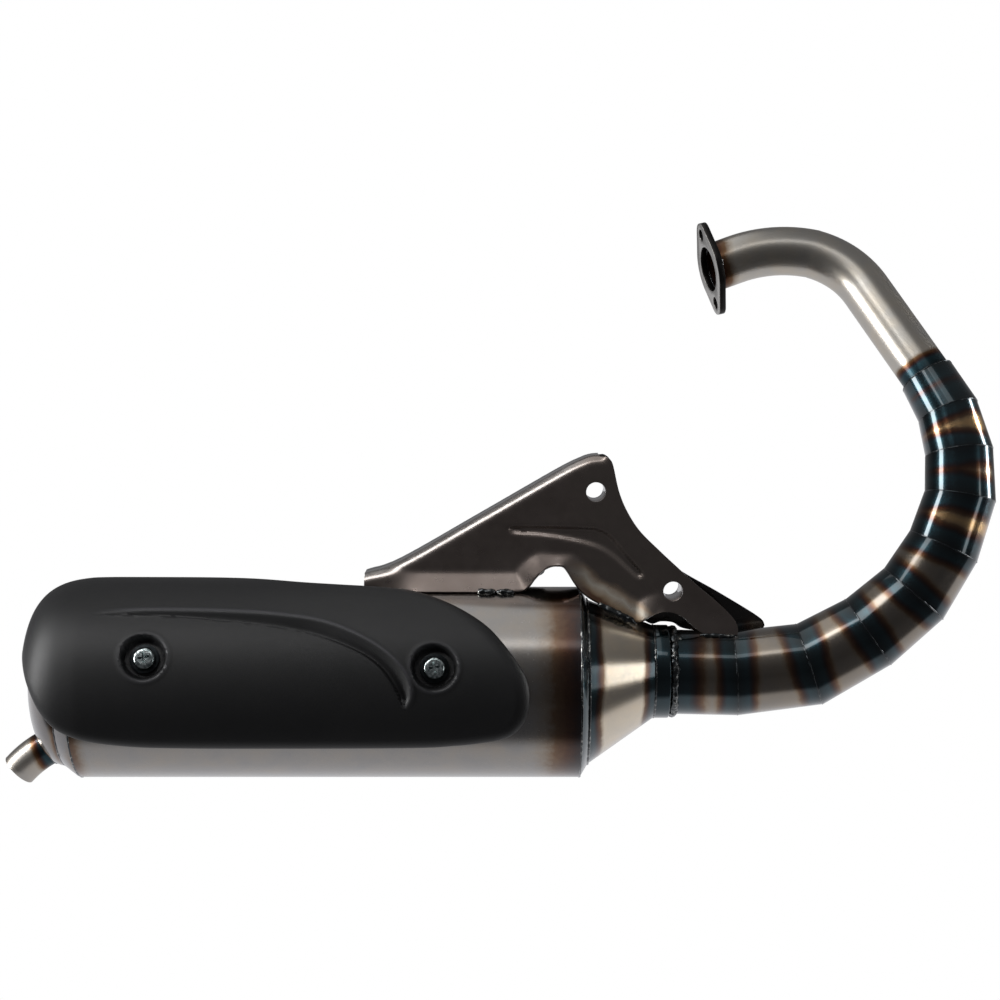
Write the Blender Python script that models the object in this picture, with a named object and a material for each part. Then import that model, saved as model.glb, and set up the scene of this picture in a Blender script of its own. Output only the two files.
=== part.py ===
"""Tuned exhaust for a 50 cc scooter engine, as separate pieces in metres, +Z up.

X runs along the canister, from its tail to the engine end, and -Y is the side that shows
the heat shield. The origin is the centre of the exhaust port, on the flange's sealing face.
Every dimension below is in millimetres in the canister's own frame, whose origin is on the
canister axis at the front end of its shell; PORT says where the port centre is in it.
"""

import math

import bmesh
import bpy
from mathutils import Matrix, Vector

MM = 0.001
GAP = 0.3

PORT = Vector((76.6, 60.6, 231.5))
PORT_NORMAL = Vector((-0.960, -0.178, -0.214)).normalized()
STUD_DIRECTION = Vector((-0.21, 0.0, 0.978))

HEADER_OD = 28.0
HEADER_WALL = 1.5
HEADER_CORNERS = ((114.3, 64.5, 245.2), (155.6, 57.5, 236.6))
HEADER_RADII = (75.0, 52.0)

WELD_CENTRES = (
    (196.4, 19.6, 169.8),
    (206.2, 10.0, 150.5),
    (211.0, 2.2, 128.0),
    (210.6, -3.7, 103.9),
    (201.0, -6.9, 76.4),
    (184.6, -8.0, 50.3),
    (160.2, -6.7, 28.9),
    (128.0, -4.2, 10.5),
    (87.2, -1.1, 5.0),
    (50.2, 0.0, 5.6),
)
WELD_OD = (31.0, 34.0, 37.0, 38.5, 40.0, 42.0, 43.7, 46.0, 47.0, 47.0)
DIFFUSER_WALL = 1.2

COLLAR_X = (41.2, 49.6)
COLLAR_OD = 52.0
COLLAR_RISE = 5.8
CONE_X = (4.3, 40.9)
CONE_OD = (92.0, 51.6)

SHELL_LENGTH = 276.0
SHELL_OD = 106.0
SHELL_WALL = 1.5
END_RING_X = 4.0
REAR_RING_PROFILE = ((-277.3, 53.0), (-285.2, 47.0))
CAP_PROFILE = (
    (-285.6, 46.7),
    (-292.5, 42.8),
    (-300.4, 33.3),
    (-304.6, 19.5),
    (-306.0, 0.0),
)
CAP_WALL = 1.5

TAIL_OD = 20.0
TAIL_WALL = 1.5
TAIL_PATH = ((-262.0, 0.0, -18.8), (-305.6, 0.0, -41.0), (-314.6, 0.0, -50.2))
TAIL_RADIUS = 60.0

COVER_Y = -3.0
COVER_WALL = 2.0
COVER_EDGE = 7.0
COVER_PROFILE = (
    (-20.0, 59.0),
    (-60.0, 59.0),
    (-120.0, 59.0),
    (-180.0, 59.0),
    (-230.0, 59.0),
    (-264.0, 59.0),
    (-276.0, 58.7),
    (-287.0, 57.0),
    (-296.5, 53.2),
    (-303.5, 47.0),
    (-307.5, 38.5),
    (-309.6, 28.0),
    (-310.8, 16.0),
    (-311.2, 6.0),
)
COVER_OUTLINE = (
    (-28.4, 2.0),
    (-30.0, -10.0),
    (-36.3, -19.6),
    (-44.2, -23.8),
    (-54.6, -26.0),
    (-68.0, -27.8),
    (-94.6, -28.7),
    (-183.0, -28.7),
    (-222.7, -28.2),
    (-240.2, -27.0),
    (-257.5, -23.8),
    (-270.0, -20.5),
    (-284.0, -16.0),
    (-289.5, -10.5),
    (-295.0, -4.5),
    (-300.0, 2.0),
    (-304.5, 10.0),
    (-308.4, 22.0),
    (-310.6, 40.0),
    (-310.6, 62.0),
    (-307.0, 82.0),
    (-298.0, 93.0),
    (-281.0, 98.0),
    (-255.0, 100.0),
    (-215.0, 99.0),
    (-185.0, 94.5),
    (-155.0, 85.0),
    (-132.5, 80.5),
    (-110.0, 77.0),
    (-94.0, 73.0),
    (-81.8, 66.5),
    (-68.3, 57.4),
    (-53.3, 44.8),
    (-44.5, 34.6),
    (-35.7, 21.9),
    (-30.4, 12.5),
)
COVER_SPINE = ((-95.0, 12.0), (-262.0, 34.0))
SCREWS = ((-233.7, 23.0), (-79.1, 17.6))
RECESS_RADIUS = 12.5
RECESS_DEPTH = 6.0
SWOOSH = (
    (-254.0, 44.6),
    (-184.0, 44.2),
    (-139.0, 39.6),
    (-121.0, 33.6),
    (-107.1, 26.2),
    (-97.6, 18.0),
    (-92.6, 9.5),
    (-93.6, -1.5),
    (-97.4, -1.5),
    (-100.4, 8.0),
    (-107.4, 17.6),
    (-116.4, 24.2),
    (-130.4, 29.8),
    (-143.0, 34.2),
    (-184.0, 41.4),
    (-254.0, 42.8),
)
SWOOSH_DEPTH = 1.1

BRACKET_FRONT_Y = -9.0
BRACKET_REAR_Y = 21.0
BRACKET_WALL = 2.0
BRACKET_FOLD = 6.0
FLANGE_FLARE = 0.5
FLARE_START = -119.0
FLARE_RUN = 40.0
BRACKET_TOP = (
    (-119.5, 61.5),
    (-100.0, 68.4),
    (-54.0, 94.6),
    (-12.0, 118.8),
    (1.0, 125.2),
    (9.5, 127.4),
    (15.5, 126.0),
    (18.0, 122.2),
)
FRONT_RIGHT = (
    (21.4, 107.5),
    (25.9, 96.5),
    (33.1, 85.4),
    (44.2, 74.3),
    (53.2, 65.9),
    (65.4, 54.8),
    (75.5, 45.9),
    (84.5, 38.0),
    (87.0, 33.0),
)
FRONT_LOWER = (
    (66.0, 33.4),
    (61.1, 37.5),
    (52.8, 41.4),
    (44.5, 42.4),
    (11.2, 56.0),
    (-1.0, 59.6),
    (-5.5, 62.0),
    (-9.4, 65.9),
    (-13.8, 66.8),
    (-19.3, 64.8),
    (-25.0, 59.8),
    (-29.0, 55.2),
    (-97.0, 55.2),
    (-119.5, 55.6),
)
REAR_RIGHT = (
    (21.4, 104.0),
    (26.2, 93.0),
    (33.6, 82.0),
    (45.0, 71.0),
    (54.4, 62.9),
    (63.2, 57.2),
    (80.0, 47.8),
    (101.9, 33.8),
    (104.6, 31.4),
)
REAR_LOWER = (
    (66.0, 32.6),
    (58.0, 37.0),
    (38.0, 47.0),
    (20.0, 55.0),
    (-1.0, 58.0),
    (-9.4, 65.9),
    (-18.0, 65.0),
    (-27.0, 56.2),
    (-97.0, 56.2),
    (-119.5, 56.6),
)
FLARE_LINE = ((-125.0, 63.0), (-8.0, 70.0))
BRACKET_HOLES = ((8.7, 107.0), (51.6, 51.9))
BOLT_HOLE = 10.8
SPACER_OD = 15.0
RIB = ((-38.0, 85.5), (2.0, 87.0), (13.0, 83.0), (32.5, 64.5))
RIB_WIDTH = 8.0
RIB_DEPTH = 1.6

BELLY_CONE = ((-8.0, 50.9), (-150.0, 12.0))
STINGER_X = (-150.4, -205.0)
STINGER_OD = 21.0
BAFFLE_X = (-166.0, -226.0)
PLATE_WALL = 1.5


def clear():
    for thing in list(bpy.data.objects):
        bpy.data.objects.remove(thing)


def new_collection(name):
    collection = bpy.data.collections.new(name)
    bpy.context.scene.collection.children.link(collection)
    return collection


def paint(thing, colour, metallic, roughness):
    material = bpy.data.materials.new(thing.name)
    material.use_nodes = True
    shader = material.node_tree.nodes["Principled BSDF"]
    shader.inputs["Base Color"].default_value = (*colour, 1.0)
    shader.inputs["Metallic"].default_value = metallic
    shader.inputs["Roughness"].default_value = roughness
    thing.data.materials.clear()
    thing.data.materials.append(material)


def to_object(name, bm, collection):
    bmesh.ops.remove_doubles(bm, verts=bm.verts, dist=0.001)
    bmesh.ops.recalc_face_normals(bm, faces=bm.faces)
    mesh = bpy.data.meshes.new(name)
    bm.to_mesh(mesh)
    bm.free()
    thing = bpy.data.objects.new(name, mesh)
    collection.objects.link(thing)
    return thing


def frame_along(start, direction, up=Vector((0.0, 1.0, 0.0))):
    """A matrix that puts +Z along the direction, with X kept square to the up vector."""
    z = Vector(direction).normalized()
    if abs(z.dot(up)) > 0.99:
        up = Vector((0.0, 0.0, 1.0))
    x = Vector(up).cross(z).normalized()
    y = z.cross(x)
    matrix = Matrix((x, y, z)).transposed().to_4x4()
    matrix.translation = Vector(start)
    return matrix


def revolve(name, profile, collection, steps=40):
    """Spins a closed (x, radius) profile about the canister axis."""
    bm = bmesh.new()
    verts = [bm.verts.new((x, 0.0, r)) for x, r in profile]
    edges = [bm.edges.new((a, b)) for a, b in zip(verts, verts[1:] + verts[:1])]
    edges = [e for e in edges if max(v.co.z for v in e.verts) > 1e-6]
    bmesh.ops.spin(
        bm,
        geom=verts + edges,
        axis=(1.0, 0.0, 0.0),
        cent=(0.0, 0.0, 0.0),
        steps=steps,
        angle=math.tau,
        use_merge=True,
    )
    loose = [v for v in bm.verts if not v.link_faces]
    bmesh.ops.delete(bm, geom=loose, context="VERTS")
    return to_object(name, bm, collection)


def offset_profile(profile, distance):
    """The same (x, radius) line, moved inward by a wall's thickness."""
    moved = []
    for i, point in enumerate(profile):
        before = profile[max(i - 1, 0)]
        after = profile[min(i + 1, len(profile) - 1)]
        dx, dr = after[0] - before[0], after[1] - before[1]
        length = math.hypot(dx, dr)
        nx, nr = -dr / length, dx / length
        if point[1] < 1e-6:
            nx, nr = (-1.0 if nx < 0 else 1.0), 0.0
        moved.append((point[0] + nx * distance, max(point[1] + nr * distance, 0.0)))
    return moved


def add_ring(bm, matrix, radius, count):
    ring = bmesh.ops.create_circle(bm, radius=radius, segments=count, matrix=matrix)
    return ring["verts"]


def bridge(bm, ring_a, ring_b):
    count = len(ring_a)
    for i in range(count):
        j = (i + 1) % count
        bm.faces.new((ring_a[i], ring_a[j], ring_b[j], ring_b[i]))


def loft_wall(name, outer, inner, collection):
    """Lofts a tube wall through matching lists of outer and inner rings of points."""
    bm = bmesh.new()
    outside = [[bm.verts.new(p) for p in ring] for ring in outer]
    inside = [[bm.verts.new(p) for p in ring] for ring in inner]
    for rings in (outside, inside):
        for ring_a, ring_b in zip(rings, rings[1:]):
            bridge(bm, ring_a, ring_b)
    bridge(bm, outside[0], inside[0])
    bridge(bm, outside[-1], inside[-1])
    return to_object(name, bm, collection)


def ring_points(matrix, radius, count):
    angles = [math.tau * i / count for i in range(count)]
    return [matrix @ Vector((radius * math.cos(a), radius * math.sin(a), 0.0)) for a in angles]


def filleted_path(points, radii, step):
    """Points and headings along straight runs joined by arcs, one arc at each inner point."""
    points = [Vector(p) for p in points]
    path = [(points[0], (points[1] - points[0]).normalized())]
    for i, radius in enumerate(radii, start=1):
        before = (points[i] - points[i - 1]).normalized()
        after = (points[i + 1] - points[i]).normalized()
        turn = before.angle(after)
        start = points[i] - before * radius * math.tan(turn / 2)
        side = (after - before * before.dot(after)).normalized()
        count = max(2, round(math.degrees(turn) / step))
        for k in range(count + 1):
            a = turn * k / count
            place = start + before * radius * math.sin(a) + side * radius * (1 - math.cos(a))
            path.append((place, before * math.cos(a) + side * math.sin(a)))
    path.append((points[-1], (points[-1] - points[-2]).normalized()))
    return path


def bent_tube(name, path, od, wall, collection, count=24):
    outer, inner = [], []
    for place, heading in path:
        matrix = frame_along(place, heading)
        outer.append(ring_points(matrix, od / 2, count))
        inner.append(ring_points(matrix, od / 2 - wall, count))
    return loft_wall(name, outer, inner, collection)


def cylinder(name, start, direction, radius, length, collection, count=32):
    bm = bmesh.new()
    matrix = frame_along(start, direction) @ Matrix.Translation((0.0, 0.0, length / 2))
    bmesh.ops.create_cone(
        bm,
        cap_ends=True,
        segments=count,
        radius1=radius,
        radius2=radius,
        depth=length,
        matrix=matrix,
    )
    return to_object(name, bm, collection)


def boolean(target, cutter, operation="DIFFERENCE"):
    modifier = target.modifiers.new("cut", "BOOLEAN")
    modifier.operation = operation
    modifier.solver = "EXACT"
    modifier.object = cutter
    graph = bpy.context.evaluated_depsgraph_get()
    mesh = bpy.data.meshes.new_from_object(target.evaluated_get(graph))
    target.modifiers.clear()
    target.data = mesh
    bm = bmesh.new()
    bm.from_mesh(mesh)
    bmesh.ops.dissolve_degenerate(bm, edges=bm.edges, dist=0.01)
    bm.to_mesh(mesh)
    bm.free()


def plate(name, outline, y_from, y_to, collection):
    """Extrudes an outline in the X-Z plane from one Y to another."""
    bm = bmesh.new()
    face = bm.faces.new([bm.verts.new((x, y_from, z)) for x, z in outline])
    result = bmesh.ops.extrude_face_region(bm, geom=[face])
    verts = [g for g in result["geom"] if isinstance(g, bmesh.types.BMVert)]
    bmesh.ops.translate(bm, verts=verts, vec=(0.0, y_to - y_from, 0.0))
    return to_object(name, bm, collection)


def widened(line, width):
    """A closed strip of the given width about an open line in the X-Z plane."""
    left, right = [], []
    for i, point in enumerate(line):
        before = Vector(line[max(i - 1, 0)])
        after = Vector(line[min(i + 1, len(line) - 1)])
        along = (after - before).normalized()
        square = Vector((-along.y, along.x)) * width / 2
        left.append(tuple(Vector(point) + square))
        right.append(tuple(Vector(point) - square))
    return left + right[::-1]


def shifted(line, distance):
    """The line moved to its right-hand side by a distance."""
    return widened(line, 2 * distance)[len(line):][::-1]


def make_port_flange(collection):
    half, corner, ear, thickness = 27.0, 19.0, 8.0, 4.0
    along = (STUD_DIRECTION - PORT_NORMAL * STUD_DIRECTION.dot(PORT_NORMAL)).normalized()
    matrix = frame_along(PORT, -PORT_NORMAL, along)
    bm = bmesh.new()
    outline = []
    reach = half - ear
    lean = math.acos((corner - ear) / reach)
    for side in (1.0, -1.0):
        for k in range(9):
            a = -lean + 2 * lean * k / 8
            outline.append((side * ear * math.sin(a), side * (reach + ear * math.cos(a))))
        for k in range(7):
            spread = math.pi / 2 - lean
            a = math.pi / 2 - spread + 2 * spread * k / 6
            outline.append((side * corner * math.sin(a), side * corner * math.cos(a)))
    face = bm.faces.new([bm.verts.new(matrix @ Vector((x, y, 0.0))) for x, y in outline])
    result = bmesh.ops.extrude_face_region(bm, geom=[face])
    verts = [g for g in result["geom"] if isinstance(g, bmesh.types.BMVert)]
    bmesh.ops.translate(bm, verts=verts, vec=-PORT_NORMAL * thickness)
    flange = to_object("port_flange", bm, collection)
    back = PORT + PORT_NORMAL * 5
    boolean(flange, cylinder("cut_bore", back, -PORT_NORMAL, 13.0, 15.0, cutters, 40))
    for side in (1.0, -1.0):
        place = back + along * 20.0 * side
        boolean(flange, cylinder("cut_stud", place, -PORT_NORMAL, 3.5, 15.0, cutters, 20))
    return flange


def make_header(collection):
    start = PORT - PORT_NORMAL * (4.0 + GAP + 0.1)
    end = Vector(WELD_CENTRES[0])
    back = (end - Vector(HEADER_CORNERS[1])).normalized()
    points = (start, *HEADER_CORNERS, end - back * 0.2)
    path = filleted_path(points, HEADER_RADII, 5.0)
    path[0] = (path[0][0], -PORT_NORMAL)
    return bent_tube("header_pipe", path, HEADER_OD, HEADER_WALL, collection)


def make_segments(collection):
    """Cone sections cut off square to the bisector of each turn, like a pie-cut pipe."""
    centres = [Vector(c) for c in WELD_CENTRES]
    headings = [(b - a).normalized() for a, b in zip(centres, centres[1:])]
    first = (centres[0] - Vector(HEADER_CORNERS[1])).normalized()
    headings = [first] + headings + [Vector((-1.0, 0.0, 0.0))]
    planes = [(a + b).normalized() for a, b in zip(headings, headings[1:])]
    made = []
    for i in range(9):
        axis = (centres[i + 1] - centres[i]).normalized()
        length = (centres[i + 1] - centres[i]).length
        radii = (WELD_OD[i] / 2, WELD_OD[i + 1] / 2)
        slope = (radii[1] - radii[0]) / length
        walls = []
        for wall in (0.0, DIFFUSER_WALL):
            rings = []
            for centre, plane, shift in (
                (centres[i], planes[i], 0.2),
                (centres[i + 1], planes[i + 1], -0.2),
            ):
                anchor = centre + plane * shift
                ring = []
                for k in range(28):
                    a = math.tau * k / 28
                    frame = frame_along(centres[i], axis)
                    spoke = frame.to_3x3() @ Vector((math.cos(a), math.sin(a), 0.0))
                    base = centres[i] + spoke * (radii[0] - wall)
                    ray = axis + spoke * slope
                    travel = (anchor - base).dot(plane) / ray.dot(plane)
                    ring.append(base + ray * travel)
                rings.append(ring)
            walls.append(rings)
        made.append(loft_wall(f"diffuser_segment_{i + 1}", *walls, collection))
    return made


def make_inlet(collection):
    def eccentric(name, x, od, rise, wall):
        outer, inner = [], []
        for place, size, up in zip(x, od, rise):
            matrix = frame_along((place, 0.0, up), (-1.0, 0.0, 0.0))
            outer.append(ring_points(matrix, size / 2, 40))
            inner.append(ring_points(matrix, size / 2 - wall, 40))
        return loft_wall(name, outer, inner, collection)

    collar_od = (COLLAR_OD, COLLAR_OD)
    rises = (COLLAR_RISE, COLLAR_RISE)
    collar = eccentric("inlet_collar", COLLAR_X, collar_od, rises, 2.5)
    cone = eccentric("inlet_cone", CONE_X, CONE_OD, (0.0, COLLAR_RISE), 1.5)
    return collar, cone


def make_canister(collection):
    r = SHELL_OD / 2
    inner = r - SHELL_WALL
    shell_profile = [(0.0, r), (-SHELL_LENGTH, r), (-SHELL_LENGTH, inner), (0.0, inner)]
    shell = revolve("canister_shell", shell_profile, collection)
    for x, angle in SCREWS:
        start, direction = screw_line(x, angle, 48.0)
        boolean(shell, cylinder("cut_nut", start, direction, 3.6, 12.0, cutters, 16))
    ring_profile = [(GAP, r), (END_RING_X, 46.2), (END_RING_X, 43.0), (GAP, 43.0)]
    ring = revolve("front_end_ring", ring_profile, collection)
    rear_inner = offset_profile(REAR_RING_PROFILE, CAP_WALL)
    rear_ring = revolve("rear_end_ring", [*REAR_RING_PROFILE, *rear_inner[::-1]], collection)
    cap_inner = offset_profile(CAP_PROFILE, CAP_WALL)
    cap = revolve("rear_end_cap", [*CAP_PROFILE, *cap_inner[::-1]], collection)
    heading = Vector(TAIL_PATH[1]) - Vector(TAIL_PATH[0])
    hole = cylinder("cut_tail", TAIL_PATH[0], heading, TAIL_OD / 2 + GAP, 70.0, cutters)
    boolean(cap, hole)
    return shell, ring, rear_ring, cap


def make_tail(collection):
    path = filleted_path(TAIL_PATH, (TAIL_RADIUS,), 5.0)
    return bent_tube("tail_pipe", path, TAIL_OD, TAIL_WALL, collection)


def screw_line(x, angle, radius):
    """A point at a radius from the cover's axis, and the outward direction there."""
    a = math.radians(angle)
    direction = Vector((0.0, -math.cos(a), math.sin(a)))
    return Vector((x, COVER_Y, 0.0)) + direction * radius, direction


def profile_at(x, depth):
    """The radius and outward slope of the cover's rounded profile at one place."""
    for (x0, r0), (x1, r1) in zip(COVER_PROFILE, COVER_PROFILE[1:]):
        if x1 <= x <= x0:
            share = (x0 - x) / (x0 - x1)
            radius = r0 + (r1 - r0) * share
            dx, dr = x1 - x0, r1 - r0
            length = math.hypot(dx, dr)
            return x - dr / length * depth, radius + dx / length * depth
    raise ValueError(f"{x} is outside the cover")


def cover_solid(name, inset, floor, collection):
    """The cover's outside as a filled body, all its walls moved inward by the inset."""
    count = 64
    corners = [Vector(p) for p in COVER_OUTLINE]
    lengths = [(b - a).length for a, b in zip(corners, corners[1:] + corners[:1])]
    total = sum(lengths)
    outline = []
    for k in range(count):
        travel = total * k / count
        i = 0
        while travel > lengths[i]:
            travel -= lengths[i]
            i += 1
        start, end = corners[i], corners[(i + 1) % len(corners)]
        outline.append(start.lerp(end, travel / lengths[i]))
    low, high = Vector(COVER_SPINE[0]), Vector(COVER_SPINE[1])
    run = high - low
    bm = bmesh.new()
    top, bottom = [], []
    edge = max(COVER_EDGE - inset, 1.0)
    steps = [(0.45, edge), (1.0, edge), (1.0, edge * 0.5), (1.0, edge * 0.15), (1.0, 0.0)]
    for share_out, depth in steps:
        upper, lower = [], []
        for point in outline:
            share = min(max((point - low).dot(run) / run.length_squared, 0.0), 1.0)
            spine = low + run * share
            reach = max((point - spine).length, 1e-6)
            keep = share_out * max(reach - inset - depth, 0.02 * reach) / reach
            place = spine + (point - spine) * keep
            fall = max(edge - depth, 0.0)
            drop = 0.5 * (edge - math.sqrt(max(edge * edge - fall * fall, 0.0)))
            x, r = profile_at(place.x, inset + drop)
            a = math.radians(place.y)
            upper.append(Vector((x, COVER_Y - r * math.cos(a), r * math.sin(a))))
            x, r = profile_at(place.x, floor)
            lower.append(Vector((x, COVER_Y - r * math.cos(a), r * math.sin(a))))
        top.append([bm.verts.new(p) for p in upper])
        bottom.append([bm.verts.new(p) for p in lower])
    for rings in (top, bottom):
        for ring_a, ring_b in zip(rings, rings[1:]):
            bridge(bm, ring_a, ring_b)
        centre = sum((v.co for v in rings[0]), Vector()) / count
        hub = bm.verts.new(centre)
        for i in range(count):
            bm.faces.new((rings[0][i], rings[0][(i + 1) % count], hub))
    bridge(bm, top[-1], bottom[-1])
    return to_object(name, bm, collection)


def make_cover(collection):
    cover = cover_solid("heat_shield", 0.0, 4.6, collection)
    body = cover_solid("cover_body", 0.6, 12.0, cutters)
    boolean(cover, cover_solid("cover_inside", COVER_WALL, 9.0, cutters))
    groove = plate("cut_swoosh", SWOOSH, -75.0, -20.0, cutters)
    boolean(groove, cover_solid("groove_floor", SWOOSH_DEPTH, 30.0, cutters))
    boolean(cover, groove)
    for x, angle in SCREWS:
        floor = 59.0 - RECESS_DEPTH - 1.8
        start, direction = screw_line(x, angle, floor)
        cup = cylinder("cup", start, direction, RECESS_RADIUS + 1.8, 20.0, cutters)
        boolean(cup, body, "INTERSECT")
        boolean(cover, cup, "UNION")
        start, direction = screw_line(x, angle, floor + 1.8)
        boolean(cover, cylinder("cut_cup", start, direction, RECESS_RADIUS, 20.0, cutters))
        start, direction = screw_line(x, angle, 45.0)
        boolean(cover, cylinder("cut_hole", start, direction, 3.5, 20.0, cutters, 20))
    return cover


def make_shield_fixings(collection):
    """Weld-on spacer, washer and pan-head screw at each of the two fixing points."""
    made = []
    for i, (x, angle) in enumerate(SCREWS, start=1):
        seat = 59.0 - RECESS_DEPTH
        start, direction = screw_line(x, angle, seat + 0.2)
        washer = cylinder(f"shield_washer_{i}", start, direction, 8.0, 1.2, collection)
        hole = cylinder("cut_washer", start - direction, direction, 3.4, 4.0, cutters, 20)
        boolean(washer, hole)
        start, direction = screw_line(x, angle, seat + 1.7)
        screw = cylinder(f"shield_screw_{i}", start, direction, 6.0, 3.0, collection)
        start, direction = screw_line(x, angle, seat - 7.0)
        shank = cylinder("shank", start, direction, 3.0, 9.0, cutters, 20)
        boolean(screw, shank, "UNION")
        for turn in (0.4, 0.4 + math.pi / 2):
            start, direction = screw_line(x, angle, seat + 3.1)
            matrix = frame_along(start, direction) @ Matrix.Rotation(turn, 4, "Z")
            bm = bmesh.new()
            bmesh.ops.create_cube(bm, size=1.0)
            bmesh.ops.scale(bm, vec=(7.0, 1.3, 6.0), verts=bm.verts)
            bmesh.ops.translate(bm, vec=(0.0, 0.0, 3.0), verts=bm.verts)
            bmesh.ops.transform(bm, matrix=matrix, verts=bm.verts)
            boolean(screw, to_object("cut_slot", bm, cutters))
        made += [washer, screw]
    return made


def bracket_plate(name, right, lower, outer_y, inner_y, collection):
    """A sheet pressing: flat face, rolled edge along the top, open underneath."""
    sign = 1.0 if inner_y > outer_y else -1.0
    outline = [*BRACKET_TOP, *right, *lower]
    body = plate(name, outline, outer_y, inner_y, collection)
    bm = bmesh.new()
    bm.from_mesh(body.data)
    wanted = [Vector((x, outer_y, z)) for x, z in BRACKET_TOP]
    edges = []
    for edge in bm.edges:
        ends = [v.co for v in edge.verts]
        hits = [any((end - w).length < 0.01 for w in wanted) for end in ends]
        if all(hits):
            edges.append(edge)
    bmesh.ops.bevel(bm, geom=edges, offset=BRACKET_FOLD, segments=3, profile=0.5, affect="EDGES")
    bm.to_mesh(body.data)
    bm.free()
    inside_top = shifted(BRACKET_TOP, BRACKET_WALL)
    tail = [(200.0, inside_top[-1][1]), (200.0, -20.0), (-200.0, -20.0)]
    tail.append((-200.0, inside_top[0][1] - 30.0))
    depth = (outer_y + sign * BRACKET_WALL, inner_y + sign * 5)
    boolean(body, plate("inside", [*inside_top, *tail], *depth, cutters))
    return body


def add_rib(plate_body):
    """A shallow pressed channel: its back stands proud of the sheet, its front is sunk."""
    face = BRACKET_FRONT_Y
    back = face + BRACKET_WALL
    outer = widened(RIB, RIB_WIDTH + 2.0)
    boolean(plate_body, plate("rib_back", outer, face + 0.5, back + RIB_DEPTH, cutters), "UNION")
    inner = widened(RIB, RIB_WIDTH)
    boolean(plate_body, plate("cut_rib", inner, face - 3.0, face + RIB_DEPTH, cutters))


def flare(plate_body):
    """Bends the foot of the sheet outward, below a line, where it lands on the shell."""
    (x0, z0), (x1, z1) = FLARE_LINE
    along = Vector((x1 - x0, 0.0, z1 - z0)).normalized()
    square = Vector((-along.z, 0.0, along.x))
    start = Vector((x0, 0.0, z0))
    bm = bmesh.new()
    bm.from_mesh(plate_body.data)
    everything = [*bm.verts, *bm.edges, *bm.faces]
    bmesh.ops.bisect_plane(bm, geom=everything, plane_co=start, plane_no=square)
    everything = [*bm.verts, *bm.edges, *bm.faces]
    bend = Vector((FLARE_START + FLARE_RUN, 0.0, 0.0))
    bmesh.ops.bisect_plane(bm, geom=everything, plane_co=bend, plane_no=(1.0, 0.0, 0.0))
    for vert in bm.verts:
        below = -(vert.co - start).dot(square)
        share = min(max((vert.co.x - FLARE_START) / FLARE_RUN, 0.0), 1.0)
        if below > 0.0 and vert.co.x < x1:
            vert.co.y -= FLANGE_FLARE * below * share
    bm.to_mesh(plate_body.data)
    bm.free()


def make_bracket(collection):
    middle = (BRACKET_FRONT_Y + BRACKET_REAR_Y) / 2
    front = bracket_plate(
        "bracket_front_plate",
        FRONT_RIGHT,
        FRONT_LOWER,
        BRACKET_FRONT_Y,
        middle - 0.2,
        collection,
    )
    rear = bracket_plate(
        "bracket_rear_plate",
        REAR_RIGHT,
        REAR_LOWER,
        BRACKET_REAR_Y,
        middle + 0.2,
        collection,
    )
    add_rib(front)
    flare(front)
    for x, z in BRACKET_HOLES:
        start = Vector((x, -40.0, z))
        cutter = cylinder("cut_bolt", start, (0.0, 1.0, 0.0), BOLT_HOLE / 2, 90.0, cutters, 28)
        boolean(front, cutter)
        boolean(rear, cutter)
    spacers = []
    start_y = BRACKET_FRONT_Y + BRACKET_WALL + GAP
    length = BRACKET_REAR_Y - BRACKET_WALL - GAP - start_y
    for i, (x, z) in enumerate(BRACKET_HOLES, start=1):
        path = [(Vector((x, start_y, z)), Vector((0.0, 1.0, 0.0)))]
        path.append((Vector((x, start_y + length, z)), Vector((0.0, 1.0, 0.0))))
        wall = (SPACER_OD - BOLT_HOLE) / 2
        matrices = [frame_along(p, h, Vector((1.0, 0.0, 0.0))) for p, h in path]
        outer = [ring_points(m, SPACER_OD / 2, 28) for m in matrices]
        inner = [ring_points(m, SPACER_OD / 2 - wall, 28) for m in matrices]
        spacers.append(loft_wall(f"bracket_spacer_{i}", outer, inner, collection))
    return front, rear, spacers


def make_internals(collection):
    inner = SHELL_OD / 2 - SHELL_WALL - GAP
    (x0, r0), (x1, r1) = BELLY_CONE
    profile = [(x0, r0), (x1, r1), (x1, r1 - 1.2), (x0, r0 - 1.2)]
    cone = revolve("counter_cone", profile, collection, 40)
    a, b = STINGER_X
    r = STINGER_OD / 2
    stinger = revolve("stinger_tube", [(a, r), (b, r), (b, r - 1.2), (a, r - 1.2)], collection, 24)
    front_x, rear_x = BAFFLE_X
    hole = r + GAP
    profile = [(front_x, hole), (front_x, inner), (front_x - PLATE_WALL, inner), (front_x - PLATE_WALL, hole)]
    front = revolve("front_baffle_plate", profile, collection, 40)
    profile = [(rear_x, 7.0), (rear_x, inner), (rear_x - PLATE_WALL, inner), (rear_x - PLATE_WALL, 7.0)]
    rear = revolve("rear_baffle_plate", profile, collection, 40)
    return cone, stinger, front, rear


clear()
exhaust = new_collection("scooter_exhaust")
cutters = new_collection("cutters")

flange = make_port_flange(exhaust)
header = make_header(exhaust)
segments = make_segments(exhaust)
collar, cone = make_inlet(exhaust)
shell, front_ring, rear_ring, cap = make_canister(exhaust)
tail = make_tail(exhaust)
cover = make_cover(exhaust)
fixings = make_shield_fixings(exhaust)
front_plate, rear_plate, spacers = make_bracket(exhaust)
internals = make_internals(exhaust)

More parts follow.
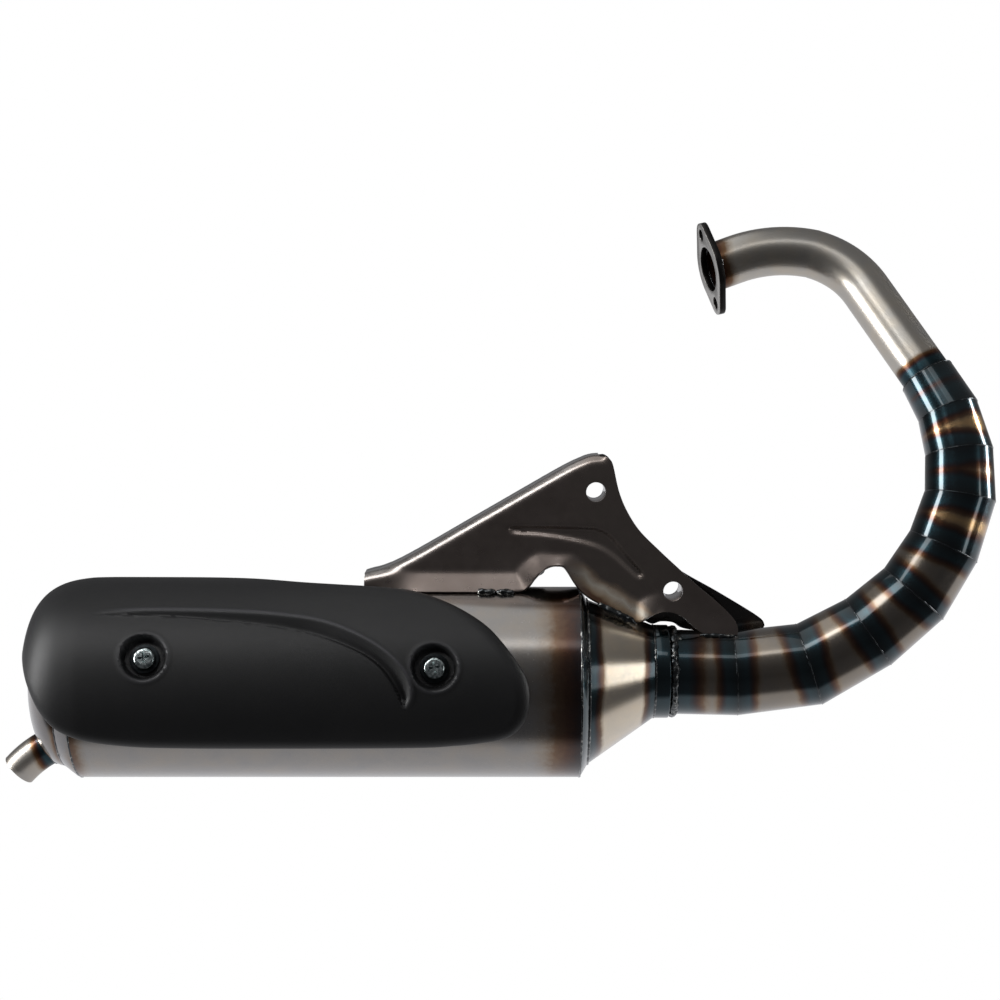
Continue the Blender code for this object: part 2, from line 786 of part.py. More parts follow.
STEEL = (0.45, 0.43, 0.40)
BLUED = (0.10, 0.13, 0.16)
STRAW = (0.42, 0.32, 0.20)
DARK = (0.12, 0.10, 0.09)
BLACK = (0.02, 0.02, 0.02)
ZINC = (0.60, 0.62, 0.60)
for thing in (flange, header, shell, tail, front_ring, rear_ring, cap, *internals):
    paint(thing, STEEL, 1.0, 0.35)
for thing in (*segments, collar):
    paint(thing, BLUED, 1.0, 0.25)
paint(cone, STRAW, 1.0, 0.2)
for thing in (front_plate, rear_plate, *spacers):
    paint(thing, DARK, 1.0, 0.35)
paint(cover, BLACK, 0.0, 0.5)
for thing in fixings:
    paint(thing, ZINC, 1.0, 0.35)

for thing in cutters.objects:
    thing.hide_render = True
    thing.display_type = "WIRE"
for thing in (*exhaust.objects, *cutters.objects):
    thing.data.transform(Matrix.Scale(MM, 4) @ Matrix.Translation(-PORT))
    thing.data.polygons.foreach_set("use_smooth", [True] * len(thing.data.polygons))
    thing.data.set_sharp_from_angle(angle=math.radians(35))
    thing.data.update()
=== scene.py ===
# %% [markdown]
# # A tuned scooter exhaust
#
# The exhaust hangs on a small two-stroke engine: a bent header pipe, a curled diffuser of
# nine mitred cones, a canister with a domed tail, a black heat shield and a pressed
# bracket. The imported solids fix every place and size. This file gives each of them its
# finished shape and its metal, lacquer or plastic.

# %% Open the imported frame
import math

import bmesh
import bpy
import numpy as np
from mathutils import Matrix, Vector


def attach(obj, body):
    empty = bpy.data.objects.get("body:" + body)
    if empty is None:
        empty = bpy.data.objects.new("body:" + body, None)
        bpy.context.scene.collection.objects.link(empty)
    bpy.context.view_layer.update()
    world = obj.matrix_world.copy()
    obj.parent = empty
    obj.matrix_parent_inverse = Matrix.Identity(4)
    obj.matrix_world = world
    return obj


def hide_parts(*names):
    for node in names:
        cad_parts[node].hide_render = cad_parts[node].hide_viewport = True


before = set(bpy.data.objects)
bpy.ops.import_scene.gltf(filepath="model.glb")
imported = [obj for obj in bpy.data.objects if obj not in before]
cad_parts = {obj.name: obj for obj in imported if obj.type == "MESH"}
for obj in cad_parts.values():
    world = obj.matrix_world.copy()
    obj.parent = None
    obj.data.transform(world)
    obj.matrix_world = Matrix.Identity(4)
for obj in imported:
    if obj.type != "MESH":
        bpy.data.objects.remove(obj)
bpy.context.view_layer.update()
print("packed nodes:", len(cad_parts))

# %% [markdown]
# The drawing frame has its origin on the canister's axis, at the front end of the shell,
# and is in millimetres: X runs towards the inlet, Z is up, and the shield faces -Y. The
# scene's own origin is the centre of the engine port, in metres, so one helper turns a
# drawn place into a scene place.

# %% Places
PORT = Vector((76.6, 60.6, 231.5))
PORT_NORMAL = Vector((-0.960, -0.178, -0.214)).normalized()
MM = 0.001


def at(x, y, z):
    return (Vector((x, y, z)) - PORT) * MM


print("canister axis starts at", [round(v, 4) for v in at(0, 0, 0)])

# %% [markdown]
# Everything is modelled by operators, which act on whatever is selected, so each step
# starts from an empty selection. These helpers select by place, go in and out of edit
# mode, and add a modifier and apply it at once.

# %% Working by hand
def clear_selection():
    if bpy.context.mode != "OBJECT":
        bpy.ops.object.mode_set(mode="OBJECT")
    bpy.ops.object.select_all(action="DESELECT")


def hold(piece):
    clear_selection()
    piece.select_set(True)
    bpy.context.view_layer.objects.active = piece


def edit(piece, mode="VERT", wanted=None):
    """Edit mode on one piece, with the verts, edges or faces that pass a test selected."""
    hold(piece)
    bpy.ops.object.mode_set(mode="EDIT")
    bpy.ops.mesh.select_mode(type=mode)
    bpy.ops.mesh.select_all(action="SELECT" if wanted is None else "DESELECT")
    if wanted is None:
        return
    bm = bmesh.from_edit_mesh(piece.data)
    for part in {"VERT": bm.verts, "EDGE": bm.edges, "FACE": bm.faces}[mode]:
        part.select_set(bool(wanted(part)))
    bm.select_flush_mode()
    bmesh.update_edit_mesh(piece.data)


def settle(piece):
    """Puts the piece's place into its mesh, so that its object sits at the origin."""
    hold(piece)
    bpy.ops.object.transform_apply(location=True, rotation=True, scale=True)


def modify(piece, kind, **settings):
    hold(piece)
    modifier = piece.modifiers.new(kind.lower(), kind)
    for key, value in settings.items():
        setattr(modifier, key, value)
    bpy.ops.object.modifier_apply(modifier=modifier.name)


def face_out(piece):
    edit(piece)
    bpy.ops.mesh.remove_doubles(threshold=0.000005)
    bpy.ops.mesh.normals_make_consistent(inside=False)
    clear_selection()


def thicken(piece, wall):
    face_out(piece)
    modify(piece, "SOLIDIFY", thickness=wall * MM, offset=-1.0, use_even_offset=True)


def smooth(piece, angle=35.0):
    hold(piece)
    bpy.ops.object.shade_smooth_by_angle(angle=math.radians(angle))


def turned_to(direction):
    return Vector(direction).to_track_quat("Z", "Y").to_euler()


finished = []


def finish_piece(piece, name, material, nodes=()):
    """Names a piece, gives it its finish, rides it on the frame and hides what it replaces."""
    piece.name = name
    piece.data.name = name
    piece.data.materials.clear()
    piece.data.materials.append(material)
    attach(piece, "root")
    if nodes:
        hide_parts(*nodes)
    finished.append(name)


# %% [markdown]
# ## Metal and its heat colours
#
# Where steel is welded, the heat leaves coloured bands that follow the weld line: blue-black
# next to it, then purple-brown, copper and straw, fading into bare grey. The bands depend
# only on the distance from a weld plane, so one group measures the distance from the planes
# at a piece's two ends, lets it wander a little, and reads a ramp. The steel is lacquered
# afterwards, which is a clear coat over a softer metal.

# %% A short way to place shader nodes
def put(tree, kind, settings=None, **sockets):
    node = tree.nodes.new(kind)
    for key, value in (settings or {}).items():
        setattr(node, key, value)
    for key, value in sockets.items():
        if key[0] == "i" and key[1:].isdigit():
            socket = node.inputs[int(key[1:])]
        else:
            socket = node.inputs[key.replace("_", " ")]
        if isinstance(value, bpy.types.NodeSocket):
            tree.links.new(value, socket)
        else:
            socket.default_value = value
    return node


def maths(tree, operation, a, b=0.0, clamp=False):
    return put(tree, "ShaderNodeMath", {"operation": operation, "use_clamp": clamp}, i0=a, i1=b).outputs[0]


def vector_maths(tree, operation, a, b):
    node = put(tree, "ShaderNodeVectorMath", {"operation": operation}, i0=a, i1=b)
    return node.outputs["Value" if operation == "DOT_PRODUCT" else "Vector"]


def noise(tree, place, scale, detail=2.0, roughness=0.5):
    node = put(tree, "ShaderNodeTexNoise", None, Vector=place, Scale=scale, Detail=detail, Roughness=roughness)
    return node.outputs["Fac"]


def ramp(tree, value, stops):
    node = put(tree, "ShaderNodeValToRGB", None, Fac=value)
    elements = node.color_ramp.elements
    while len(elements) < len(stops):
        elements.new(0.5)
    for element, (position, colour) in zip(elements, stops):
        element.position = position
        element.color = (*colour, 1.0) if len(colour) == 3 else colour
    return node


def blend(tree, share, a, b, kind="MIX"):
    node = put(tree, "ShaderNodeMix", {"data_type": "RGBA", "blend_type": kind})
    for socket, value in ((0, share), (6, a), (7, b)):
        if isinstance(value, bpy.types.NodeSocket):
            tree.links.new(value, node.inputs[socket])
        else:
            node.inputs[socket].default_value = value
    return node.outputs[2]


def scattered(tree, place, scale, amount, detail=2.0):
    """Noise about zero, times an amount."""
    return maths(tree, "MULTIPLY", maths(tree, "SUBTRACT", noise(tree, place, scale, detail), 0.5), amount)


def new_group(name, inputs, outputs):
    tree = bpy.data.node_groups.new(name, "ShaderNodeTree")
    for direction, entries in (("INPUT", inputs), ("OUTPUT", outputs)):
        for entry, kind in entries:
            tree.interface.new_socket(entry, in_out=direction, socket_type=f"NodeSocket{kind}")
    return tree, tree.nodes.new("NodeGroupInput").outputs, tree.nodes.new("NodeGroupOutput").inputs


# %% The heat-colour group
TINT_INPUTS = (
    ("Start", "Vector"),
    ("Start heading", "Vector"),
    ("Start reach", "Float"),
    ("End", "Vector"),
    ("End heading", "Vector"),
    ("End reach", "Float"),
    ("Bare", "Color"),
    ("Wander", "Float"),
)
heat, heat_in, heat_out = new_group("heat_colours", TINT_INPUTS, (("Color", "Color"), ("Roughness", "Float")))
place = put(heat, "ShaderNodeTexCoord").outputs["Object"]
after_start = vector_maths(heat, "SUBTRACT", place, heat_in["Start"])
before_end = vector_maths(heat, "SUBTRACT", heat_in["End"], place)
from_start = vector_maths(heat, "DOT_PRODUCT", after_start, heat_in["Start heading"])
from_end = vector_maths(heat, "DOT_PRODUCT", before_end, heat_in["End heading"])
share_start = maths(heat, "DIVIDE", from_start, heat_in["Start reach"])
share_end = maths(heat, "DIVIDE", from_end, heat_in["End reach"])
nearest = maths(heat, "MINIMUM", share_start, share_end)
broad = scattered(heat, place, 45.0, heat_in["Wander"], 1.0)
fine = scattered(heat, place, 320.0, 0.10, 3.0)
distance = maths(heat, "ADD", nearest, maths(heat, "ADD", broad, fine), clamp=True)
bands = ramp(
    heat,
    distance,
    (
        (0.00, (0.016, 0.024, 0.028, 0.0)),
        (0.22, (0.018, 0.038, 0.047, 0.0)),
        (0.42, (0.022, 0.050, 0.062, 0.0)),
        (0.53, (0.026, 0.028, 0.034, 0.0)),
        (0.60, (0.042, 0.019, 0.015, 0.0)),
        (0.69, (0.088, 0.035, 0.016, 0.0)),
        (0.80, (0.170, 0.096, 0.050, 0.0)),
        (0.90, (0.270, 0.190, 0.118, 0.55)),
        (1.00, (0.330, 0.240, 0.150, 1.0)),
    ),
)
tinted = blend(heat, bands.outputs["Alpha"], bands.outputs["Color"], heat_in["Bare"])
mottle = ramp(
    heat,
    noise(heat, place, 70.0, 3.0, 0.55),
    ((0.25, (0.90, 0.93, 0.98)), (0.5, (1.0, 1.0, 1.0)), (0.78, (1.08, 1.03, 0.96))),
)
heat.links.new(blend(heat, 1.0, tinted, mottle.outputs["Color"], "MULTIPLY"), heat_out["Color"])
heat.links.new(maths(heat, "MULTIPLY", noise(heat, place, 900.0), 0.10), heat_out["Roughness"])
print("heat colour stops:", len(bands.color_ramp.elements))


# %% Lacquered and bare steel
def new_material(name, **settings):
    material = bpy.data.materials.new(name)
    material.use_nodes = True
    tree = material.node_tree
    shader = tree.nodes["Principled BSDF"]
    for key, value in settings.items():
        shader.inputs[key.replace("_", " ")].default_value = value
    return material, tree, shader


def grain(tree, shader, scale, strength, distance=0.0001):
    """A fine, shallow bump over the whole piece."""
    place = put(tree, "ShaderNodeTexCoord").outputs["Object"]
    height = noise(tree, place, scale, 3.0)
    bump = put(tree, "ShaderNodeBump", None, Strength=strength, Distance=distance, Height=height)
    tree.links.new(bump.outputs[0], shader.inputs["Normal"])


def spotted(tree, shader, noise_value, stops):
    """Base colour from a ramp over a pattern."""
    tree.links.new(ramp(tree, noise_value, stops).outputs["Color"], shader.inputs["Base Color"])


def uneven_gloss(tree, shader, place, scale, spread, least, detail=2.0):
    """Roughness that changes a little over the surface."""
    varied = maths(tree, "MULTIPLY", noise(tree, place, scale, detail), spread)
    tree.links.new(maths(tree, "ADD", varied, least), shader.inputs["Roughness"])


def heated_steel(name, start, end, bare, rough=0.16, coat=1.0, wander=0.42, gloss=0.03):
    """start and end are each a plane's place, its heading and the reach of its heat in mm."""
    material, tree, shader = new_material(name, Metallic=1.0, Coat_Weight=coat, Coat_Roughness=gloss)
    group = put(
        tree,
        "ShaderNodeGroup",
        {"node_tree": heat},
        Start=start[0],
        Start_heading=start[1],
        Start_reach=start[2] * MM,
        End=end[0],
        End_heading=end[1],
        End_reach=end[2] * MM,
        Bare=(*bare, 1.0),
        Wander=wander,
    )
    tree.links.new(group.outputs["Color"], shader.inputs["Base Color"])
    tree.links.new(maths(tree, "ADD", group.outputs["Roughness"], rough), shader.inputs["Roughness"])
    grain(tree, shader, 600.0, 0.06)
    return material


# %% [markdown]
# ## The header pipe and the tail pipe
#
# Both are tubes bent on a former: straight runs joined by arcs of one radius. A curve with
# a round bevel is the quickest exact way to sweep them. It becomes a mesh, its ends are cut
# by a plane where they meet a plate or a weld, and it gets its wall.

# %% A bent tube
def bent_line(points, radii, step=3.0):
    points = [Vector(p) for p in points]
    line = [points[0]]
    for i, radius in enumerate(radii, start=1):
        before = (points[i] - points[i - 1]).normalized()
        after = (points[i + 1] - points[i]).normalized()
        turn = before.angle(after)
        start = points[i] - before * radius * math.tan(turn / 2)
        side = (after - before * before.dot(after)).normalized()
        count = round(math.degrees(turn) / step)
        for k in range(count + 1):
            a = turn * k / count
            spot = start + before * radius * math.sin(a) + side * radius * (1 - math.cos(a))
            heading = before * math.cos(a) + side * math.sin(a)
            if (spot - line[-1]).dot(heading) > 0.4:
                line.append(spot)
    return [*line, points[-1]]


def swept_tube(line, radius):
    clear_selection()
    bpy.ops.curve.primitive_bezier_curve_add()
    path = bpy.context.object
    path.data.splines.clear()
    spline = path.data.splines.new("POLY")
    spline.points.add(len(line) - 1)
    for point, spot in zip(spline.points, line):
        point.co = (*at(*spot), 1.0)
    path.location = (0.0, 0.0, 0.0)
    path.data.dimensions = "3D"
    path.data.twist_mode = "MINIMUM"
    path.data.bevel_depth = radius * MM
    path.data.bevel_resolution = 22
    path.data.use_fill_caps = False
    hold(path)
    bpy.ops.object.convert(target="MESH")
    return bpy.context.object


def trim(piece, place, normal):
    """Cuts away everything on the far side of a plane."""
    edit(piece)
    bpy.ops.mesh.bisect(plane_co=place, plane_no=normal, clear_outer=True)
    clear_selection()


HEADER_CORNERS = ((114.3, 64.5, 245.2), (155.6, 57.5, 236.6))
WELDS = (
    (196.4, 19.6, 169.8),
    (206.2, 10.0, 150.5),
    (211.0, 2.2, 128.0),
    (210.6, -3.7, 103.9),
    (201.0, -6.9, 76.4),
    (184.6, -8.0, 50.3),
    (160.2, -6.7, 28.9),
    (128.0, -4.2, 10.5),
    (87.2, -1.1, 5.0),
    (50.2, 0.0, 5.6),
)
weld_centres = [Vector(w) for w in WELDS]
last_run = (weld_centres[0] - Vector(HEADER_CORNERS[1])).normalized()

header = swept_tube(bent_line((PORT, *HEADER_CORNERS, WELDS[0]), (75.0, 52.0)), 14.0)
trim(header, at(*(PORT - PORT_NORMAL * 4.1)), PORT_NORMAL)
thicken(header, 1.5)
smooth(header)
bare_header = heated_steel(
    "satin_header_steel",
    (at(*(PORT + PORT_NORMAL * 12.0)), -PORT_NORMAL, 27.0),
    (at(*weld_centres[0]), last_run, 11.0),
    (0.565, 0.53, 0.475),
    rough=0.26,
    coat=0.15,
)
finish_piece(header, "header_tube", bare_header, ("header_pipe",))
print("header_tube:", len(header.data.polygons), "faces")

# %% The tail pipe
TAIL_LINE = ((-262.0, 0.0, -18.8), (-305.6, 0.0, -41.0), (-314.6, 0.0, -50.2))
tail = swept_tube(bent_line(TAIL_LINE, (60.0,)), 10.0)
thicken(tail, 1.5)
modify(tail, "BEVEL", width=0.0003, segments=2, limit_method="ANGLE", angle_limit=math.radians(50))
smooth(tail)
tail_heading = (Vector(TAIL_LINE[1]) - Vector(TAIL_LINE[0])).normalized()
tail_steel = heated_steel(
    "brushed_tail_steel",
    (at(-294.0, 0.0, -35.0), tail_heading, 13.0),
    (at(-340.0, 0.0, -60.0), tail_heading, 4.0),
    (0.46, 0.43, 0.39),
    rough=0.3,
    coat=0.25,
)
finish_piece(tail, "tail_outlet", tail_steel, ("tail_pipe",))
print("tail_outlet:", len(tail.data.polygons), "faces")

# %% [markdown]
# ## The curled diffuser
#
# Each section is a piece of cone cut at both ends along the plane that halves the turn, as a
# saw would cut it. A cone is added a little too long, along the line from weld to weld, and
# two bisecting planes cut it to length, so neighbours meet all round.

# %% Nine mitred cones
WELD_RADII = (15.5, 17.0, 18.5, 19.25, 20.0, 21.0, 21.85, 23.0, 23.5, 23.5)
REACHES = (
    (20, 24), (12.5, 12.5), (17.5, 17.5), (15, 15.5), (13.5, 13.5), (13.5, 14), (14, 14), (14, 14), (14.5, 23),
)
BARE_SECTION = (0.30, 0.26, 0.215)
GOLDEN = (0.62, 0.40, 0.19)
headings = [(b - a).normalized() for a, b in zip(weld_centres, weld_centres[1:])]
planes = [(a + b).normalized() for a, b in zip([last_run, *headings], [*headings, Vector((-1.0, 0.0, 0.0))])]


def cone_between(low, high, low_radius, high_radius, spare, count=112):
    """An open cone from one place to another, carried on by a spare length at each end."""
    low, high = Vector(low), Vector(high)
    run = (high - low).length
    heading = (high - low) / run
    slope = (high_radius - low_radius) / run
    clear_selection()
    bpy.ops.mesh.primitive_cone_add(
        vertices=count,
        radius1=(low_radius - slope * spare) * MM,
        radius2=(high_radius + slope * spare) * MM,
        depth=(run + 2 * spare) * MM,
        end_fill_type="NOTHING",
        location=at(*((low + high) / 2)),
        rotation=turned_to(heading),
    )
    piece = bpy.context.object
    settle(piece)
    return piece


SECTIONS = len(headings)
for i in range(SECTIONS):
    section = cone_between(weld_centres[i], weld_centres[i + 1], WELD_RADII[i], WELD_RADII[i + 1], 8.0)
    trim(section, at(*weld_centres[i]), -planes[i])
    trim(section, at(*weld_centres[i + 1]), planes[i + 1])
    thicken(section, 1.2)
    smooth(section, 60.0)
    steel = heated_steel(
        f"lacquered_section_steel_{i + 1}",
        (at(*weld_centres[i]), planes[i], REACHES[i][0]),
        (at(*weld_centres[i + 1]), planes[i + 1], REACHES[i][1]),
        GOLDEN if i in (1, 3) else BARE_SECTION,
    )
    finish_piece(section, f"diffuser_cone_{i + 1}", steel, (f"diffuser_segment_{i + 1}",))
print("diffuser cones:", SECTIONS)

# %% [markdown]
# ## Weld beads
#
# A hand weld is a low, uneven rope of small puddles. A thin ring is laid on the joint,
# flattened, and its surface is pushed in and out by a cloud pattern a few millimetres
# across. Straight beads on the bracket are made the same way from a short rod.

# %% Weld metal
weld_metal, tree, shader = new_material("weld_bead_metal", Metallic=1.0, Coat_Weight=1.0, Coat_Roughness=0.05)
place = put(tree, "ShaderNodeTexCoord").outputs["Object"]
spotted(
    tree,
    shader,
    noise(tree, place, 420.0, 3.0),
    ((0.35, (0.018, 0.024, 0.028)), (0.56, (0.060, 0.066, 0.068)), (0.72, (0.42, 0.42, 0.40))),
)
uneven_gloss(tree, shader, place, 700.0, 0.25, 0.12)
grain(tree, shader, 900.0, 0.35, distance=0.0003)

dark_weld, tree, shader = new_material("dark_weld_metal", Metallic=1.0, Coat_Weight=1.0, Coat_Roughness=0.08)
place = put(tree, "ShaderNodeTexCoord").outputs["Object"]
spotted(
    tree,
    shader,
    noise(tree, place, 300.0, 3.0),
    ((0.4, (0.010, 0.015, 0.018)), (0.66, (0.026, 0.034, 0.038)), (0.78, (0.12, 0.13, 0.13))),
)
uneven_gloss(tree, shader, place, 700.0, 0.2, 0.2)
grain(tree, shader, 900.0, 0.3, distance=0.0003)

puddles = bpy.data.textures.new("weld_puddles", "CLOUDS")
puddles.noise_scale = 0.0032
puddles.noise_depth = 1


def ring_bead(
    name, centre, normal, radius, size, lumps=0.5, stretch=1.0, across=None, metal=weld_metal
):
    """A weld round a joint; stretch widens it along one direction, as a mitre's oval is."""
    clear_selection()
    bpy.ops.mesh.primitive_torus_add(
        major_segments=220,
        minor_segments=10,
        major_radius=radius * MM,
        minor_radius=size * MM,
    )
    bead = bpy.context.object
    normal = Vector(normal).normalized()
    x = Vector(across) if across is not None else normal.orthogonal()
    x = (x - normal * x.dot(normal)).normalized()
    turn = Matrix((x, normal.cross(x), normal)).transposed().to_4x4()
    bead.matrix_world = Matrix.Translation(at(*centre)) @ turn @ Matrix.Diagonal((stretch, 1.0, 1.0, 1.0))
    settle(bead)
    modify(bead, "DISPLACE", texture=puddles, strength=lumps * MM, mid_level=0.5, texture_coords="LOCAL")
    face_out(bead)
    smooth(bead, 80.0)
    finish_piece(bead, name, metal)


for i in range(SECTIONS):
    before = last_run if i == 0 else headings[i - 1]
    across = headings[i] - before
    if across.length < 0.02:
        across = Vector((1.0, 0.0, 0.0))
    half_turn = before.angle(headings[i]) / 2
    radius = WELD_RADII[i] - 0.3
    ring_bead(
        f"section_weld_{i + 1}",
        weld_centres[i],
        planes[i],
        radius,
        0.45,
        lumps=0.45,
        stretch=1 / math.cos(half_turn),
        across=across,
        metal=dark_weld,
    )
flange_back = PORT - PORT_NORMAL * 4.6
ring_bead("flange_weld", flange_back, PORT_NORMAL, 14.0, 1.0, lumps=0.9)
print("ring beads:", SECTIONS + 1)

# %% [markdown]
# ## The inlet collar and the off-centre cone
#
# The cone is made straight, and then its small end is slid up as one ring, which leans the
# upper side less than the lower. The collar is a short heavy sleeve with a rounded rim.

# %% Collar, cone and front ring
inlet_cone = cone_between((3.9, 0.0, 0.0), (41.4, 0.0, 0.0), 46.1, 25.6, 0.0, 144)
edit(inlet_cone, "VERT", lambda v: v.co.x > at(40.0, 0, 0).x)
bpy.ops.transform.translate(value=(0.0, 0.0, 5.8 * MM))
clear_selection()
thicken(inlet_cone, 1.5)
smooth(inlet_cone, 60.0)
ALONG = Vector((1.0, 0.0, 0.0))
cone_steel = heated_steel(
    "lacquered_cone_steel",
    (at(2.0, 0, 0), ALONG, 11.0),
    (at(43.0, 0, 0), ALONG, 9.5),
    (0.80, 0.70, 0.56),
    rough=0.18,
    gloss=0.12,
)
finish_piece(inlet_cone, "reducing_cone", cone_steel, ("inlet_cone",))

collar = cone_between((41.3, 0.0, 5.8), (49.6, 0.0, 5.8), 26.0, 26.0, 0.0, 128)
thicken(collar, 2.6)
modify(collar, "BEVEL", width=0.0009, segments=4, limit_method="ANGLE", angle_limit=math.radians(50))
smooth(collar, 50.0)
FAR_PLANE = (at(400.0, 0, 0), ALONG, 60.0)
UNSEEN_BARE = (0.2, 0.2, 0.2)
dark_collar = heated_steel("dark_collar_steel", (at(30.0, 0, 0), ALONG, 60.0), FAR_PLANE, UNSEEN_BARE)
finish_piece(collar, "inlet_sleeve", dark_collar, ("inlet_collar",))

front_ring = cone_between((0.0, 0.0, 0.0), (4.1, 0.0, 0.0), 53.0, 46.2, 0.0, 144)
thicken(front_ring, 2.4)
modify(front_ring, "BEVEL", width=0.0006, segments=3, limit_method="ANGLE", angle_limit=math.radians(40))
smooth(front_ring, 50.0)
ring_steel = heated_steel("dark_ring_steel", (at(-20.0, 0, 0), ALONG, 60.0), FAR_PLANE, UNSEEN_BARE)
finish_piece(front_ring, "front_chamfer", ring_steel, ("front_end_ring",))
ring_bead("collar_weld", (51.8, 0.0, 5.7), ALONG, 23.3, 2.3, lumps=2.2)
ring_bead("cone_to_collar_weld", (41.2, 0.0, 5.8), ALONG, 25.6, 0.7, lumps=0.6)
ring_bead("cone_to_ring_weld", (4.2, 0.0, 0.0), ALONG, 45.9, 0.7, lumps=0.7)
ring_bead("shell_front_weld", (-0.2, 0.0, 0.0), ALONG, 52.7, 0.6, lumps=0.6)
print("inlet pieces done")

# %% [markdown]
# ## The canister
#
# The shell is rolled sheet, closed at the tail by a chamfered rim and a domed cap. Rim and
# cap are drawn from their widest circle: the edge is extruded, slid along the axis and
# scaled towards it, once for each step of the profile.

# %% Shell
shell = cone_between((-276.4, 0.0, 0.0), (0.0, 0.0, 0.0), 53.0, 53.0, 0.0, 180)
thicken(shell, 1.5)
smooth(shell, 60.0)
shell_steel = heated_steel(
    "lacquered_canister_steel",
    (at(-297.0, 0, 0), ALONG, 29.0),
    (at(33.0, 0, 0), ALONG, 60.0),
    (0.335, 0.315, 0.295),
    rough=0.2,
    wander=0.12,
    gloss=0.16,
)
finish_piece(shell, "canister_body", shell_steel, ("canister_shell",))


# %% Rim and cap
def stepped_dome(profile, count=144):
    """Starts from a ring and extrudes it from each (x, radius) to the next."""
    x, radius = profile[0]
    clear_selection()
    bpy.ops.mesh.primitive_circle_add(
        vertices=count, radius=radius * MM, location=at(x, 0, 0), rotation=turned_to(ALONG)
    )
    piece = bpy.context.object
    settle(piece)
    edit(piece)
    for (x0, r0), (x1, r1) in zip(profile, profile[1:]):
        bpy.ops.mesh.extrude_region_move(TRANSFORM_OT_translate={"value": ((x1 - x0) * MM, 0.0, 0.0)})
        bpy.ops.transform.resize(value=(1.0, r1 / r0, r1 / r0), center_override=at(x1, 0, 0))
    clear_selection()
    return piece


rim = stepped_dome(((-276.6, 53.0), (-277.8, 52.7), (-284.4, 47.7), (-285.4, 46.8)))
thicken(rim, 1.5)
smooth(rim, 50.0)
rim_steel = heated_steel(
    "lacquered_rim_steel",
    (at(-346.0, 0, 0), ALONG, 60.0),
    (at(-232.0, 0, 0), ALONG, 50.0),
    (0.25, 0.24, 0.24),
)
finish_piece(rim, "tail_rim", rim_steel, ("rear_end_ring",))

cap_profile = [(-285.4, 46.8)]
for k in range(1, 15):
    a = math.radians(90 * k / 15)
    cap_profile.append((-285.4 - 20.0 * math.sin(a), 46.8 * math.cos(a) ** 0.86))
cap_profile.append((-305.7, 1.2))
cap = stepped_dome(cap_profile)
edit(cap, "EDGE", lambda e: e.is_boundary and e.verts[0].co.x < at(-304.0, 0, 0).x)
bpy.ops.mesh.edge_face_add()
clear_selection()
thicken(cap, 1.5)
clear_selection()
bpy.ops.mesh.primitive_cylinder_add(
    vertices=48, radius=0.0102, depth=0.08, location=at(-290.0, 0.0, -33.1), rotation=turned_to(tail_heading)
)
punch = bpy.context.object
settle(punch)
modify(cap, "BOOLEAN", operation="DIFFERENCE", solver="EXACT", object=punch)
bpy.data.objects.remove(punch)
smooth(cap, 50.0)
cap_steel = heated_steel(
    "lacquered_cap_steel",
    (at(-330.0, 0, 0), ALONG, 24.0),
    (at(-279.0, 0, 0), ALONG, 10.0),
    (0.26, 0.245, 0.24),
)
finish_piece(cap, "tail_cap", cap_steel, ("rear_end_cap",))
ring_bead("shell_rear_weld", (-276.6, 0.0, 0.0), ALONG, 52.7, 0.6, lumps=0.6)
ring_bead("cap_weld", (-285.2, 0.0, 0.0), ALONG, 46.7, 0.6, lumps=0.6)
ring_bead("tail_weld", (-296.6, 0.0, -36.4), tail_heading, 10.2, 1.2, lumps=1.2)
print("canister pieces done")

# %% [markdown]
# ## The heat shield
#
# The shield is a moulded plastic shell: a piece of a slightly larger cylinder, closed by a
# dome at the tail, with a rounded edge, two deep screw wells and one long scooped groove.
# An edge that wanders like this one, on a curved face, is hard to reach with a bevel, so
# the face is laid out as ribs between the two halves of its outline, and every point is
# pushed inwards by how near it is to the edge, a well or the groove. The inner face is the
# same ribs, one wall deeper.

# %% Lines that carry the shield
COVER_Y = -3.0
COVER_PROFILE = (
    (-20.0, 59.0), (-120.0, 59.0), (-230.0, 59.0), (-262.0, 59.0), (-274.0, 58.4), (-284.5, 56.3),
    (-293.0, 52.2), (-299.2, 46.0), (-303.2, 38.0), (-305.4, 28.0), (-306.6, 16.0), (-307.0, 6.0),
)
COVER_OUTLINE = (
    (-28.4, 2.0), (-30.0, -10.0), (-36.3, -19.6), (-44.2, -23.8), (-54.6, -26.0), (-68.0, -27.8),
    (-94.6, -29.4), (-183.0, -29.8), (-222.7, -29.4), (-240.2, -28.6), (-257.5, -26.4),
    (-270.0, -23.6), (-280.0, -19.6), (-287.0, -14.6), (-292.4, -8.2), (-296.6, -1.0),
    (-300.8, 8.5), (-304.2, 22.0), (-306.3, 40.0), (-306.3, 62.0), (-302.8, 82.0), (-294.0, 93.0),
    (-279.0, 98.0), (-255.0, 100.0), (-215.0, 99.0), (-185.0, 94.5), (-155.0, 85.0), (-132.5, 80.5),
    (-110.0, 77.0), (-94.0, 73.0), (-81.8, 66.5), (-68.3, 57.4), (-53.3, 44.8), (-44.5, 34.6),
    (-35.7, 21.9), (-30.4, 12.5),
)
GROOVE_UPPER = (
    (-262.0, 43.9), (-254.0, 44.6), (-220.0, 45.0), (-184.0, 44.2), (-160.0, 42.6), (-139.0, 39.6),
    (-121.0, 33.6), (-107.1, 26.2), (-97.6, 18.0), (-92.6, 9.5), (-91.6, 2.0), (-94.0, -3.5),
)
GROOVE_LOWER = (
    (-262.0, 43.7), (-254.0, 43.4), (-220.0, 42.6), (-184.0, 40.0), (-160.0, 37.2), (-143.0, 33.8),
    (-130.4, 29.8), (-116.4, 23.6), (-107.4, 16.6), (-101.4, 8.0), (-98.4, 1.5), (-95.6, -4.0),
)
